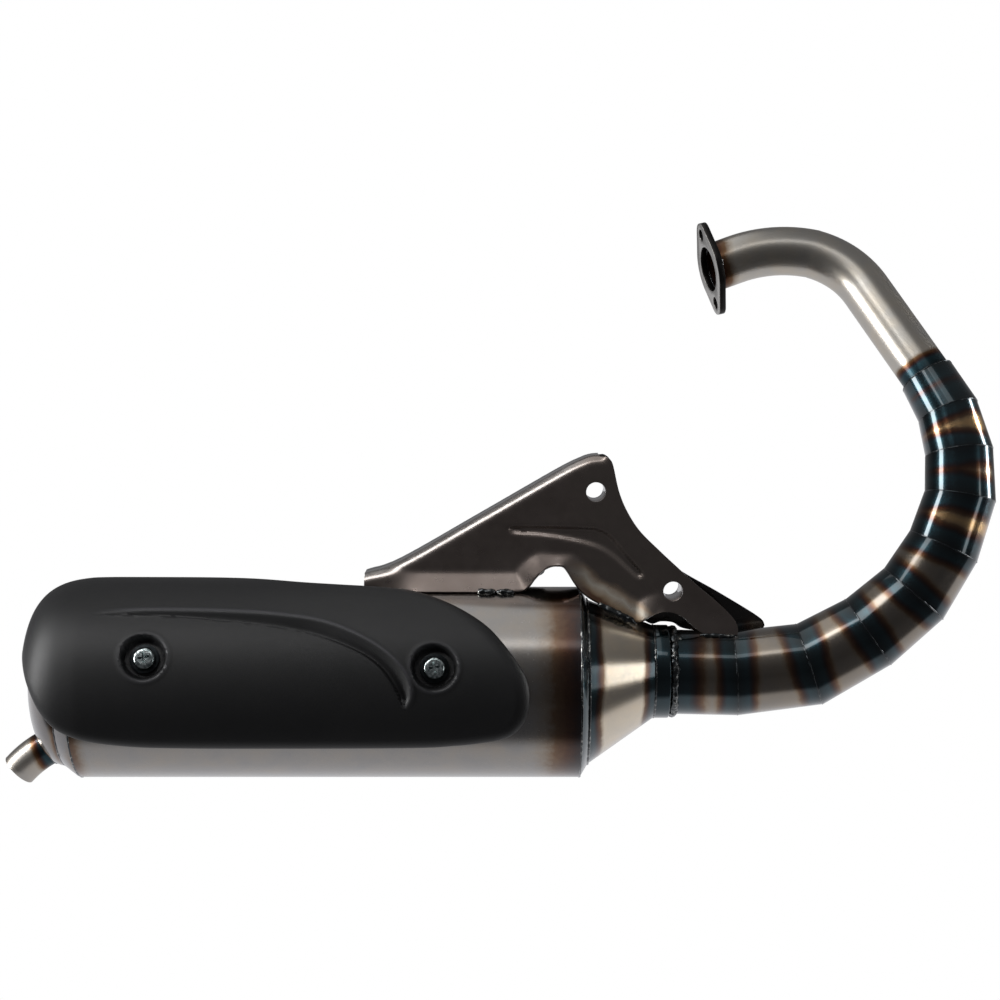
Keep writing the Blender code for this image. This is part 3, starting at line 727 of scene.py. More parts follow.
SCREWS = ((-233.7, 23.0), (-79.1, 17.6))


def flowing(points, step, closed=False):
    """A Catmull-Rom curve through the points, at an even step."""
    p = np.array(points, float)
    if closed:
        p = np.vstack([p[-1], p, p[0], p[1]])
    else:
        p = np.vstack([2 * p[0] - p[1], p, 2 * p[-1] - p[-2]])
    spots = []
    for a, b, c, d in zip(p, p[1:], p[2:], p[3:]):
        for t in np.linspace(0.0, 1.0, 24, endpoint=False):
            bow = (2 * a - 5 * b + 4 * c - d) * t**2 + (3 * b - a - 3 * c + d) * t**3
            spots.append(0.5 * (2 * b + (c - a) * t + bow))
    spots.append(p[-2])
    return evenly(np.array(spots), step)


def run_along(line):
    return np.concatenate([[0.0], np.cumsum(np.linalg.norm(np.diff(line, axis=0), axis=1))])


def evenly(line, step):
    run = run_along(line)
    spots = np.linspace(0.0, run[-1], max(2, int(run[-1] / step) + 1))
    return np.stack([np.interp(spots, run, line[:, k]) for k in range(line.shape[1])], axis=1)


def reach_to(points, line):
    """Distance from each point to a line of short pieces."""
    nearest = np.full(len(points), 1e9)
    for a, b in zip(line, line[1:]):
        along = b - a
        share = np.clip(((points - a) @ along) / max(float(along @ along), 1e-12), 0.0, 1.0)
        nearest = np.minimum(nearest, np.linalg.norm(points - a - share[:, None] * along, axis=1))
    return nearest


def within(points, loop):
    inside = np.zeros(len(points), bool)
    for (x0, z0), (x1, z1) in zip(loop, np.roll(loop, -1, axis=0)):
        crosses = (z0 > points[:, 1]) != (z1 > points[:, 1])
        with np.errstate(divide="ignore", invalid="ignore"):
            where = (x1 - x0) * (points[:, 1] - z0) / (z1 - z0) + x0
        inside ^= crosses & (points[:, 0] < where)
    return inside


def soft_step(x):
    x = np.clip(x, 0.0, 1.0)
    return x * x * (3 - 2 * x)


profile_line = flowing(COVER_PROFILE, 0.25)
profile_run = run_along(profile_line)


def on_cover(run, angle, depth):
    """A place on the shield from the way along its profile, the angle round and a depth."""
    def follow(way, k):
        return np.interp(way, profile_run, profile_line[:, k])

    x, r = follow(run, 0), follow(run, 1)
    dx = follow(run + 0.5, 0) - follow(run - 0.5, 0)
    dr = follow(run + 0.5, 1) - follow(run - 0.5, 1)
    length = np.maximum(np.hypot(dx, dr), 1e-9)
    x = x - dr / length * depth
    r = r + dx / length * depth
    a = np.radians(angle)
    return np.stack([x, COVER_Y - r * np.cos(a), r * np.sin(a)], axis=-1)


print("profile length, mm:", round(float(profile_run[-1]), 1))


# %% Ribs, edge, wells and groove
def way_along(x):
    return np.interp(-x, -profile_line[:, 0], profile_run)


RIBS = 361
OUTER_ACROSS, INNER_ACROSS = 190, 50
WALL = 2.0
EDGE_ROUND = 8.5
WELL_RADIUS, WELL_DEPTH = 12.7, 6.0
MM_PER_DEGREE = 0.9
DOME_WAY, DOME_ANGLE = 276.0, 50.0


def closer_at_ends(u, share):
    """0 to 1 with smaller steps at both ends."""
    return (1 - share) * u + share * (1 - np.cos(np.pi * u)) / 2


outline = flowing([(way_along(x), angle * MM_PER_DEGREE) for x, angle in COVER_OUTLINE], 0.5, closed=True)
outline[:, 1] /= MM_PER_DEGREE
edge_line = on_cover(outline[:, 0], outline[:, 1], 0.0)
off_dome = outline[:, 0] < DOME_WAY
left_tip = int(np.argmin(np.abs(outline[:, 1] - DOME_ANGLE) + 100.0 * off_dome))
halves = []
for half in (np.arange(0, left_tip + 1), np.arange(len(outline) - 1, left_tip - 1, -1)):
    line, span = outline[half], run_along(edge_line[half])
    spots = closer_at_ends(np.linspace(0.0, 1.0, RIBS), 0.5) * span[-1]
    halves.append(np.stack([np.interp(spots, span, line[:, k]) for k in (0, 1)], axis=1))


def cover_face(across, wall):
    """Every point of one face, and how much painted highlight it carries along the well rims and the groove
    lip, from 0 to 1.
    """
    v = closer_at_ends(np.linspace(0.0, 1.0, across), 0.35)[None, :, None]
    flat = (halves[0][:, None, :] * (1 - v) + halves[1][:, None, :] * v).reshape(-1, 2)
    rest = on_cover(flat[:, 0], flat[:, 1], 0.0)
    fall = np.clip(EDGE_ROUND - reach_to(rest, edge_line[::3]), 0.0, EDGE_ROUND)
    depth = 0.5 * (EDGE_ROUND - np.sqrt(EDGE_ROUND**2 - fall**2))
    painted_highlight = np.zeros(len(flat))
    for x, angle in SCREWS:
        a = math.radians(angle)
        out = np.array([0.0, -math.cos(a), math.sin(a)])
        spoke = rest - np.array([x, COVER_Y, 0.0])
        away = np.linalg.norm(spoke - (spoke @ out)[:, None] * out, axis=1)
        away = np.where(spoke @ out > 0, away, 99.0)
        # A thin ring of painted highlight round each well's rim.
        painted_highlight = painted_highlight + 0.5 * np.exp(-(((away - 13.3) / 0.9) ** 2))
        raised_rim = 0.3 * np.exp(-(((away - 13.4) / 1.2) ** 2))
        depth = depth + WELL_DEPTH * soft_step((WELL_RADIUS - away) / 2.2) - raised_rim
    seen = rest[:, (0, 2)]
    front = rest[:, 1] < COVER_Y
    upper, lower = flowing(GROOVE_UPPER, 2.0), flowing(GROOVE_LOWER, 2.0)
    near = front & (seen[:, 0] > -275) & (seen[:, 0] < -80) & (seen[:, 1] > -15) & (seen[:, 1] < 56)
    p = seen[near]
    to_upper, to_lower = reach_to(p, upper), reach_to(p, lower)
    inside = within(p, np.vstack([upper, lower[::-1]]))
    width = to_upper + to_lower
    share = to_upper / np.maximum(width, 1e-6)
    shape = soft_step(share / 0.75) * soft_step((1.0 - share) / 0.16)
    scoop = np.where(inside, np.minimum(0.5 * width, 3.0) * shape, 0.0)
    grows = soft_step((p[:, 0] + 264.0) / 30.0) * soft_step((p[:, 1] + 6.0) / 14.0)
    above = np.where(inside, -1.0, 1.0) * to_upper
    lip = 0.95 * grows * np.exp(-(((above - 0.5) / 1.15) ** 2))
    depth[near] += scoop - lip
    # A painted highlight along the groove's upper lip.
    painted_highlight[near] += grows * np.exp(-(((above - 0.9) / 0.8) ** 2))
    return on_cover(flat[:, 0], flat[:, 1], depth + wall), np.clip(painted_highlight, 0.0, 1.0)


outer, outer_painted_highlight = cover_face(OUTER_ACROSS, 0.0)
inner, _ = cover_face(INNER_ACROSS, WALL)
verts = (np.vstack([outer, inner]) - np.array(PORT)) * MM
faces = []
for first, across, turned in ((0, OUTER_ACROSS, False), (len(outer), INNER_ACROSS, True)):
    for i in range(RIBS - 1):
        for j in range(across - 1):
            a = first + i * across + j
            quad = (a, a + across, a + across + 1, a + 1)
            faces.append(quad[::-1] if turned else quad)
for i in range(RIBS - 1):
    for side in (0, 1):
        a = i * OUTER_ACROSS + side * (OUTER_ACROSS - 1)
        b = a + OUTER_ACROSS
        c = len(outer) + i * INNER_ACROSS + side * (INNER_ACROSS - 1)
        d = c + INNER_ACROSS
        faces.append((a, c, d, b) if side else (a, b, d, c))
mesh = bpy.data.meshes.new("heat_shield_moulding")
mesh.from_pydata(verts.tolist(), [], faces)
# The outer face carries its painted highlight as a point attribute.
painted_highlight_attribute = mesh.attributes.new("painted_highlight", "FLOAT", "POINT")
painted_highlight_attribute.data.foreach_set("value", np.concatenate([outer_painted_highlight, np.zeros(len(inner))]))
shield = bpy.data.objects.new("heat_shield_moulding", mesh)
bpy.context.scene.collection.objects.link(shield)
face_out(shield)
smooth(shield, 50.0)

# %% Moulded black plastic
plastic, tree, shader = new_material("moulded_black_plastic", Specular_IOR_Level=0.5)
place = put(tree, "ShaderNodeTexCoord").outputs["Object"]
tone = ramp(
    tree,
    noise(tree, place, 26.0, 4.0, 0.6),
    ((0.3, (0.0060, 0.0062, 0.0068)), (0.7, (0.0095, 0.0095, 0.0100))),
)
# The plastic is painted lighter along the well rims and the groove lip: a painted highlight.
painted_highlight_share = put(tree, "ShaderNodeAttribute", {"attribute_name": "painted_highlight"}).outputs["Fac"]
painted_highlight_tone = blend(tree, painted_highlight_share, tone.outputs["Color"], (0.05, 0.05, 0.055, 1.0))
tree.links.new(painted_highlight_tone, shader.inputs["Base Color"])
uneven_gloss(tree, shader, place, 1400.0, 0.10, 0.45)
fine_grain = maths(tree, "ADD", noise(tree, place, 2600.0), noise(tree, place, 60.0))
bump = put(tree, "ShaderNodeBump", None, Strength=0.22, Distance=0.0002, Height=fine_grain)
tree.links.new(bump.outputs[0], shader.inputs["Normal"])
finish_piece(shield, "heat_shield_moulding", plastic, ("heat_shield",))
print("shield:", len(shield.data.polygons), "faces")

# %% [markdown]
# ## Screws and washers
#
# Each well holds a zinc-plated pan-head screw with a cross drive on a dark washer. The head
# is a short cylinder with a wide bevel; the cross is cut by two thin tapered blocks. One
# screw is modelled at the origin, then copied and laid into each well with its own mesh.

# %% One screw, one washer
clear_selection()
bpy.ops.mesh.primitive_cylinder_add(vertices=64, radius=0.006, depth=0.003, location=(0, 0, 0.0015))
screw = bpy.context.object
settle(screw)
edit(screw, "EDGE", lambda e: all(v.co.z > 0.0029 for v in e.verts) and not e.is_boundary)
bpy.ops.mesh.bevel(offset=0.0021, segments=7, profile=0.5)
clear_selection()
for turn in (0.2, 0.2 + math.pi / 2):
    clear_selection()
    bpy.ops.mesh.primitive_cube_add(
        size=1.0, location=(0, 0, 0.0023), rotation=(0, 0, turn), scale=(0.0068, 0.00135, 0.0028)
    )
    slot_cutter = bpy.context.object
    settle(slot_cutter)
    edit(slot_cutter, "VERT", lambda v: v.co.z < 0.0023)
    bpy.ops.transform.resize(value=(0.45, 0.45, 1.0), center_override=(0.0, 0.0, 0.0009))
    clear_selection()
    modify(screw, "BOOLEAN", operation="DIFFERENCE", solver="EXACT", object=slot_cutter)
    bpy.data.objects.remove(slot_cutter)
edit(screw, "FACE", lambda f: f.normal.z < -0.9 and f.calc_center_median().z < 0.0005)
bpy.ops.mesh.inset(thickness=0.003)
bpy.ops.mesh.extrude_region_move(TRANSFORM_OT_translate={"value": (0.0, 0.0, -0.009)})
face_out(screw)
smooth(screw, 40.0)

clear_selection()
bpy.ops.mesh.primitive_cylinder_add(vertices=64, radius=0.008, depth=0.0012, end_fill_type="NOTHING")
washer = bpy.context.object
thicken(washer, 4.6)
modify(washer, "BEVEL", width=0.0002, segments=2, limit_method="ANGLE", angle_limit=math.radians(50))
smooth(washer, 50.0)

zinc, tree, shader = new_material("zinc_plate", Metallic=1.0)
place = put(tree, "ShaderNodeTexCoord").outputs["Object"]
spotted(tree, shader, noise(tree, place, 700.0, 3.0), ((0.38, (0.20, 0.25, 0.25)), (0.66, (0.76, 0.84, 0.84))))
uneven_gloss(tree, shader, place, 900.0, 0.25, 0.08)
grain(tree, shader, 900.0, 0.35)

blackened, tree, shader = new_material("blackened_washer_steel", Metallic=1.0)
place = put(tree, "ShaderNodeTexCoord").outputs["Object"]
spotted(
    tree, shader, noise(tree, place, 500.0, 3.0), ((0.3, (0.010, 0.012, 0.013)), (0.7, (0.030, 0.034, 0.036)))
)
uneven_gloss(tree, shader, place, 900.0, 0.2, 0.3)
grain(tree, shader, 1000.0, 0.3)


# %% A copy in each well
def copy_of(piece, where):
    made = piece.copy()
    made.data = piece.data.copy()
    bpy.context.scene.collection.objects.link(made)
    made.matrix_world = where
    settle(made)
    return made


for i, (x, angle) in enumerate(SCREWS, start=1):
    a = math.radians(angle)
    out = Vector((0.0, -math.cos(a), math.sin(a)))
    lean = out.to_track_quat("Z", "Y").to_matrix().to_4x4()
    parts = (("washer", washer, 53.8, blackened), ("screw", screw, 54.7, zinc))
    for kind, piece, lift, material in parts:
        spot = at(x, COVER_Y, 0.0) + out * lift * MM
        made = copy_of(piece, Matrix.Translation(spot) @ lean)
        smooth(made, 40.0)
        finish_piece(made, f"{kind}_{i}", material, (f"shield_{kind}_{i}",))
for spare in (screw, washer):
    bpy.data.objects.remove(spare)
print("wells filled:", len(SCREWS))

# %% [markdown]
# ## The bracket
#
# Two pressed sheets stand on the canister, back to back, their top edges rolled towards
# each other. Each is drawn as its flat pattern, before it is pressed: a fine grid, as thick
# as a slab, is cut to the outline with a boolean, its front skin is kept, and then the
# press shapes it. The top is rolled over a radius, the foot is flared, and the stiffening
# channel is sunk. Solidify gives the sheet its thickness last.

# %% Flat patterns
BRACKET_TOP = (
    (-119.5, 61.5), (-100.0, 68.4), (-54.0, 94.6), (-12.0, 118.8), (1.0, 125.2), (6.2, 127.0),
    (10.8, 127.4),
)
FRONT_RIGHT = (
    (13.8, 126.8), (16.5, 124.9), (18.2, 121.4), (21.4, 107.5), (25.9, 96.5), (33.1, 85.4),
    (44.2, 74.3), (53.2, 65.9), (65.4, 54.8), (75.5, 46.4), (84.5, 37.6), (87.6, 31.6), (87.4, 27.6),
)
FRONT_LOWER = (
    (76.0, 27.6), (68.0, 28.8), (62.6, 32.6), (57.0, 37.6), (51.0, 40.2), (44.5, 40.4), (39.0, 38.6),
    (34.0, 36.2), (29.2, 36.2), (20.9, 40.6), (11.9, 45.4), (5.4, 49.0), (0.4, 53.0), (-3.6, 58.0),
    (-6.6, 62.8), (-9.4, 66.2), (-13.8, 66.8), (-19.3, 64.8), (-25.0, 59.8), (-30.0, 54.2),
    (-40.0, 52.4), (-97.0, 52.6), (-119.5, 55.0),
)
REAR_RIGHT = (
    (13.8, 126.8), (16.5, 124.9), (18.2, 121.4), (21.4, 104.0), (26.2, 93.0), (33.6, 82.0),
    (45.0, 71.0), (54.4, 62.9), (63.2, 57.2), (80.0, 47.8), (101.9, 34.4), (106.0, 29.8), (105.4, 27.6),
)
REAR_LOWER = (
    (92.3, 25.6), (69.6, 26.0), (59.0, 27.6), (54.0, 30.6), (47.0, 31.2), (42.0, 29.8), (36.0, 33.0),
    (28.0, 38.0), (15.0, 46.0), (5.0, 52.6), (-2.0, 60.0), (-9.4, 65.9), (-18.0, 65.0),
    (-27.0, 56.2), (-97.0, 54.4), (-119.5, 55.6),
)
CHANNEL = (
    (-40.2, 87.6), (-36.5, 88.6), (-11.0, 88.4), (5.5, 87.9), (13.4, 85.8), (19.2, 81.4),
    (26.0, 73.0), (34.6, 63.2), (35.4, 60.4), (33.6, 58.6), (30.6, 59.6), (25.4, 64.0),
    (18.0, 70.6), (10.8, 75.2), (1.0, 78.4), (-12.0, 81.0), (-24.0, 82.6), (-36.0, 83.4),
    (-39.6, 84.8),
)
BRACKET_HOLES = ((8.7, 107.0), (51.6, 51.9))
BOLT_BORE = 5.4
FOLD = 6.0
ROLL = FOLD * math.pi / 2
ROLLED_FLAT = 8.7
top_line = flowing(BRACKET_TOP, 0.25)


def square_to(line):
    along = np.gradient(line, axis=0)
    along /= np.linalg.norm(along, axis=1)[:, None]
    return np.stack([-along[:, 1], along[:, 0]], axis=1)


def slab_from(name, outline, y_from, y_to):
    """A filled outline, extruded in Y."""
    mesh = bpy.data.meshes.new(name)
    mesh.from_pydata([at(x, y_from, z) for x, z in outline], [], [tuple(range(len(outline)))])
    piece = bpy.data.objects.new(name, mesh)
    bpy.context.scene.collection.objects.link(piece)
    edit(piece)
    bpy.ops.mesh.extrude_region_move(TRANSFORM_OT_translate={"value": (0.0, (y_to - y_from) * MM, 0.0)})
    bpy.ops.mesh.select_all(action="SELECT")
    bpy.ops.mesh.normals_make_consistent(inside=False)
    clear_selection()
    return piece


def flat_skin(name, right, lower, cell=1.3):
    clear_selection()
    bpy.ops.mesh.primitive_grid_add(
        x_subdivisions=int(250 / cell),
        y_subdivisions=int(136 / cell),
        size=1.0,
        location=at(-10.0, 0.0, 80.0),
        rotation=(math.radians(90), 0.0, 0.0),
    )
    skin = bpy.context.object
    skin.scale = (0.250, 0.136, 1.0)
    settle(skin)
    edit(skin)
    bpy.ops.mesh.extrude_region_move(TRANSFORM_OT_translate={"value": (0.0, 0.004, 0.0)})
    bpy.ops.mesh.select_all(action="SELECT")
    bpy.ops.mesh.normals_make_consistent(inside=False)
    clear_selection()
    rolled = (top_line + square_to(top_line) * (ROLL - FOLD + ROLLED_FLAT))[::5]
    right_line = flowing(right, 1.5)
    lower_line = flowing(lower, 1.5)
    outline = np.vstack([rolled, top_line[-1:], right_line, lower_line, top_line[:1]])
    pattern = slab_from(f"{name}_pattern", outline.tolist(), -8.0, 12.0)
    modify(skin, "BOOLEAN", operation="INTERSECT", solver="EXACT", object=pattern)
    bpy.data.objects.remove(pattern)
    for x, z in BRACKET_HOLES:
        clear_selection()
        bpy.ops.mesh.primitive_cylinder_add(
            vertices=64,
            radius=BOLT_BORE * MM,
            depth=0.05,
            location=at(x, 0.0, z),
            rotation=(math.radians(90), 0.0, 0.0),
        )
        drill = bpy.context.object
        settle(drill)
        modify(skin, "BOOLEAN", operation="DIFFERENCE", solver="EXACT", object=drill)
        bpy.data.objects.remove(drill)
    face = at(0.0, 0.0, 0.0).y + 0.0001
    edit(skin, "FACE", lambda f: f.calc_center_median().y > face)
    bpy.ops.mesh.delete(type="FACE")
    clear_selection()
    return skin, lower_line


def pressed(skin, lower_line, outer_y, sign, channel=None):
    """Rolls the top, flares the foot and sinks the channel; sign is the way inwards in Y."""
    count = len(skin.data.vertices)
    places = np.empty(count * 3)
    skin.data.vertices.foreach_get("co", places)
    drawn = places.reshape(-1, 3) / MM + np.array(PORT)
    p = drawn[:, (0, 2)]
    inward = np.zeros(count)
    if channel is not None:
        loop = flowing(channel, 1.0, closed=True)
        inside = within(p, loop)
        inward += 1.9 * soft_step(np.where(inside, reach_to(p, loop), 0.0) / 2.4)
        low = reach_to(p, lower_line)
        fade = soft_step((p[:, 0] + 119.0) / 34.0)
        fade = fade * (0.2 * soft_step((86.0 - p[:, 0]) / 20.0) + 0.8 * soft_step((50.0 - p[:, 0]) / 15.0))
        reach = 12.0 - 4.5 * np.exp(-(((p[:, 0] + 12.0) / 10.0) ** 2))
        bend = np.clip(reach - low, 0.0, reach)
        inward -= fade * np.where(bend < 2.0, bend**2 / 4.0, bend - 1.0) * 0.5
    out = square_to(top_line)
    gap = np.linalg.norm(p[:, None, :] - top_line[None, :, :], axis=2).argmin(axis=1)
    base, away = top_line[gap], out[gap]
    past = ((p - base) * away).sum(axis=1) + FOLD
    beside = (p - base)[:, 0] * away[:, 1] - (p - base)[:, 1] * away[:, 0]
    share = soft_step(1.0 - np.maximum(np.abs(beside) - 0.5, 0.0) / 5.0) * (past > 0.0)
    turn = np.clip(past / FOLD, 0.0, math.pi / 2)
    forward = (FOLD * np.sin(turn) - past) * share
    inward += (FOLD * (1 - np.cos(turn)) + np.maximum(past - ROLL, 0.0)) * share
    p = p + away * forward[:, None]
    rolled = skin.data.attributes.new("rolled", "FLOAT", "POINT")
    rolled.data.foreach_set("value", soft_step(past / 4.5) * share)
    shaped = np.stack([p[:, 0], outer_y + sign * inward, p[:, 1]], axis=1)
    skin.data.vertices.foreach_set("co", ((shaped - np.array(PORT)) * MM).ravel())
    skin.data.update()


# %% Two pressed sheets
front_plate, front_low = flat_skin("front_sheet", FRONT_RIGHT, FRONT_LOWER)
pressed(front_plate, front_low, -9.0, 1.0, CHANNEL)
rear_plate, rear_low = flat_skin("rear_sheet", REAR_RIGHT, REAR_LOWER, 2.4)
pressed(rear_plate, rear_low, 21.0, -1.0)
for plate, sign in ((front_plate, 1.0), (rear_plate, -1.0)):
    edit(plate)
    bpy.ops.mesh.remove_doubles(threshold=0.00005)
    bpy.ops.mesh.normals_make_consistent(inside=False)
    clear_selection()
    middle = at(-30.0, 0.0, 75.0)
    flat = [f for f in plate.data.polygons if (f.center - middle).xz.length < 0.012]
    if sum(f.normal.y for f in flat) * sign > 0:
        edit(plate)
        bpy.ops.mesh.flip_normals()
        clear_selection()
    modify(plate, "SOLIDIFY", thickness=0.002, offset=-1.0)
    modify(plate, "BEVEL", width=0.0003, segments=2, limit_method="ANGLE", angle_limit=math.radians(60))
    smooth(plate, 45.0)

# %% Bracket lacquer
bracket_steel, tree, shader = new_material(
    "lacquered_bracket_steel", Metallic=1.0, Coat_Weight=1.0, Coat_Roughness=0.04
)
place = put(tree, "ShaderNodeTexCoord").outputs["Object"]
foot = at(11.9, 0.0, 46.4)
moved = vector_maths(tree, "SUBTRACT", place, foot)
slope = vector_maths(tree, "DOT_PRODUCT", moved, Vector((0.527, 0.0, 0.85)))
uneven = maths(tree, "ADD", scattered(tree, place, 90.0, 0.008), 0.001)
height = maths(tree, "MULTIPLY", maths(tree, "ADD", slope, uneven), 70.0, clamp=True)
along_x = put(tree, "ShaderNodeSeparateXYZ", None, Vector=moved).outputs["X"]
rising = maths(tree, "MULTIPLY", maths(tree, "ADD", along_x, 0.020), 70.0, clamp=True)
fading = maths(tree, "MULTIPLY", maths(tree, "SUBTRACT", 0.050, along_x), 60.0, clamp=True)
tint_and_highlight_share = maths(tree, "MULTIPLY", rising, fading)
# Near the foot weld the lacquer takes heat colours; the cream middle of this ramp is a painted highlight along
# the crease of the flared foot.
heat_tint_and_crease_highlight = ramp(
    tree,
    height,
    (
        (0.06, (0.22, 0.11, 0.06)),
        (0.24, (0.62, 0.46, 0.30)),
        (0.50, (0.95, 0.87, 0.74)),
        (0.72, (0.60, 0.46, 0.34)),
        (0.92, (0.31, 0.26, 0.23)),
    ),
)
plain = ramp(
    tree, noise(tree, place, 34.0, 3.0, 0.6), ((0.3, (0.27, 0.22, 0.195)), (0.7, (0.36, 0.30, 0.27)))
)
# The rolled edge is painted lighter, broken into streaks along X: a painted highlight along the fold.
drawn_out = vector_maths(tree, "MULTIPLY", place, Vector((0.12, 1.0, 1.0)))
painted_fold_highlight = ramp(
    tree, noise(tree, drawn_out, 900.0), ((0.3, (0.40, 0.37, 0.345)), (0.7, (0.66, 0.62, 0.59)))
)
roll_share = put(tree, "ShaderNodeAttribute", {"attribute_name": "rolled"}).outputs["Fac"]
painted_fold_highlight_share = maths(tree, "MULTIPLY", roll_share, 0.9)
plain_with_fold_highlight = blend(tree, painted_fold_highlight_share, plain.outputs["Color"], painted_fold_highlight.outputs["Color"])
body_tone = blend(tree, tint_and_highlight_share, plain_with_fold_highlight, heat_tint_and_crease_highlight.outputs["Color"])
tree.links.new(body_tone, shader.inputs["Base Color"])
uneven_gloss(tree, shader, place, 200.0, 0.10, 0.24)
grain(tree, shader, 160.0, 0.06)
finish_piece(front_plate, "front_sheet", bracket_steel, ("bracket_front_plate",))

# The rear sheet is a much darker copy of the bracket steel: painted shade, for the shade it stands in behind
# the front sheet.
painted_shade_sheet, tree, shader = new_material(
    "painted_shade_rear_sheet_steel", Metallic=1.0, Coat_Weight=1.0, Coat_Roughness=0.05
)
place = put(tree, "ShaderNodeTexCoord").outputs["Object"]
spotted(
    tree, shader, noise(tree, place, 40.0, 3.0), ((0.3, (0.030, 0.026, 0.025)), (0.7, (0.060, 0.052, 0.048)))
)
uneven_gloss(tree, shader, place, 500.0, 0.14, 0.22, 3.0)
grain(tree, shader, 300.0, 0.10)
finish_piece(rear_plate, "rear_sheet", painted_shade_sheet, ("bracket_rear_plate",))

for i, (x, z) in enumerate(BRACKET_HOLES, start=1):
    clear_selection()
    bpy.ops.mesh.primitive_cylinder_add(
        vertices=64,
        radius=0.0075,
        depth=0.0254,
        end_fill_type="NOTHING",
        location=at(x, 6.0, z),
        rotation=(math.radians(90), 0.0, 0.0),
    )
    spacer = bpy.context.object
    settle(spacer)
    thicken(spacer, 2.1)
    modify(spacer, "BEVEL", width=0.0004, segments=2, limit_method="ANGLE", angle_limit=math.radians(50))
    smooth(spacer, 50.0)
    finish_piece(spacer, f"bolt_spacer_{i}", bracket_steel, (f"bracket_spacer_{i}",))
print("front sheet:", len(front_plate.data.polygons), "faces")

# %% [markdown]
# Short welds hold the bracket to the canister, the cone and the first section. Each is a
# rod of weld metal that swells in the middle, swept along a short line.


# %% Short beads
def short_bead(name, start, end, size):
    start, end = Vector(start), Vector(end)
    count = max(6, int((end - start).length / 0.7))
    bead = swept_tube([start.lerp(end, k / count) for k in range(count + 1)], size)
    middle = (at(*start) + at(*end)) / 2
    along = (end - start).normalized()
    half = (end - start).length / 2 * MM
    for vert in bead.data.vertices:
        offset = vert.co - middle
        run = offset.dot(along)
        round_off = math.sqrt(max(1.0 - (abs(run) / half) ** 4, 0.0006))
        vert.co = middle + along * run + (offset - along * run) * round_off
    modify(bead, "DISPLACE", texture=puddles, strength=size * 0.8 * MM, mid_level=0.5, texture_coords="LOCAL")
    edit(bead, "EDGE", lambda e: e.is_boundary)
    bpy.ops.mesh.edge_face_add()
    face_out(bead)
    smooth(bead, 80.0)
    finish_piece(bead, name, weld_metal)


short_bead("bracket_weld_1", (-57.0, -14.4, 52.4), (-46.5, -14.4, 52.4), 1.8)
short_bead("bracket_weld_2", (-46.5, -14.4, 52.2), (-36.0, -14.4, 52.0), 1.8)
short_bead("bracket_weld_3", (-101.0, -12.6, 52.8), (-97.0, -12.6, 52.8), 1.3)
short_bead("bracket_weld_4", (9.6, -14.2, 45.6), (31.0, -14.0, 34.6), 2.2)
short_bead("bracket_weld_5", (66.0, -9.6, 27.6), (87.0, -9.6, 26.8), 1.4)
print("short beads:", 5)

# %% [markdown]
# ## The port flange
#
# A thick plate in the shape of a rounded lozenge, sawn from bar: bare light steel on its
# sealing face, dark at the back from the weld's heat. Its outline joins two ear arcs and two
# wide arcs, and the holes are drilled through.

# %% Flange
STUD_DIRECTION = Vector((-0.21, 0.0, 0.978))
along = (STUD_DIRECTION - PORT_NORMAL * STUD_DIRECTION.dot(PORT_NORMAL)).normalized()
side_way = along.cross(-PORT_NORMAL).normalized()
half, corner, ear = 27.0, 19.0, 8.0
lean = math.acos((corner - ear) / (half - ear))
lozenge = []
for side in (1.0, -1.0):
    for k in range(17):
        a = -lean + 2 * lean * k / 16
        lozenge.append((side * ear * math.sin(a), side * (half - ear + ear * math.cos(a))))
    for k in range(1, 16):
        spread = math.pi / 2 - lean
        a = math.pi / 2 - spread + 2 * spread * k / 16
        lozenge.append((side * corner * math.sin(a), side * corner * math.cos(a)))
mesh = bpy.data.meshes.new("flange_plate")
mesh.from_pydata([(side_way * x + along * y) * MM for x, y in lozenge], [], [tuple(range(len(lozenge)))])
flange = bpy.data.objects.new("flange_plate", mesh)
bpy.context.scene.collection.objects.link(flange)
edit(flange)
bpy.ops.mesh.extrude_region_move(TRANSFORM_OT_translate={"value": -PORT_NORMAL * 4.0 * MM})
face_out(flange)
for radius, reach in ((13.0, 0.0), (3.5, 20.0), (3.5, -20.0)):
    clear_selection()
    bpy.ops.mesh.primitive_cylinder_add(
        vertices=72,
        radius=radius * MM,
        depth=0.03,
        location=along * reach * MM,
        rotation=turned_to(PORT_NORMAL),
    )
    drill = bpy.context.object
    settle(drill)
    modify(flange, "BOOLEAN", operation="DIFFERENCE", solver="EXACT", object=drill)
    bpy.data.objects.remove(drill)
modify(flange, "BEVEL", width=0.0004, segments=2, limit_method="ANGLE", angle_limit=math.radians(50))
smooth(flange, 40.0)
flange_steel, tree, shader = new_material("sawn_flange_steel", Metallic=1.0)
place = put(tree, "ShaderNodeTexCoord").outputs["Object"]
behind = maths(tree, "MULTIPLY", vector_maths(tree, "DOT_PRODUCT", place, PORT_NORMAL), -1000.0)
spotted(
    tree,
    shader,
    maths(tree, "ADD", behind, scattered(tree, place, 400.0, 0.5, 3.0)),
    ((0.10, (0.52, 0.51, 0.49)), (0.50, (0.055, 0.050, 0.046)), (1.0, (0.035, 0.033, 0.032))),
)
uneven_gloss(tree, shader, place, 700.0, 0.25, 0.26, 3.0)
grain(tree, shader, 700.0, 0.25)
finish_piece(flange, "flange_plate", flange_steel, ("port_flange",))
print("flange:", len(flange.data.polygons), "faces")

# %% [markdown]
# The tuned cone, the stinger and the two baffle plates are inside the closed canister. Their
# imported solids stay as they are, in plain rolled steel.

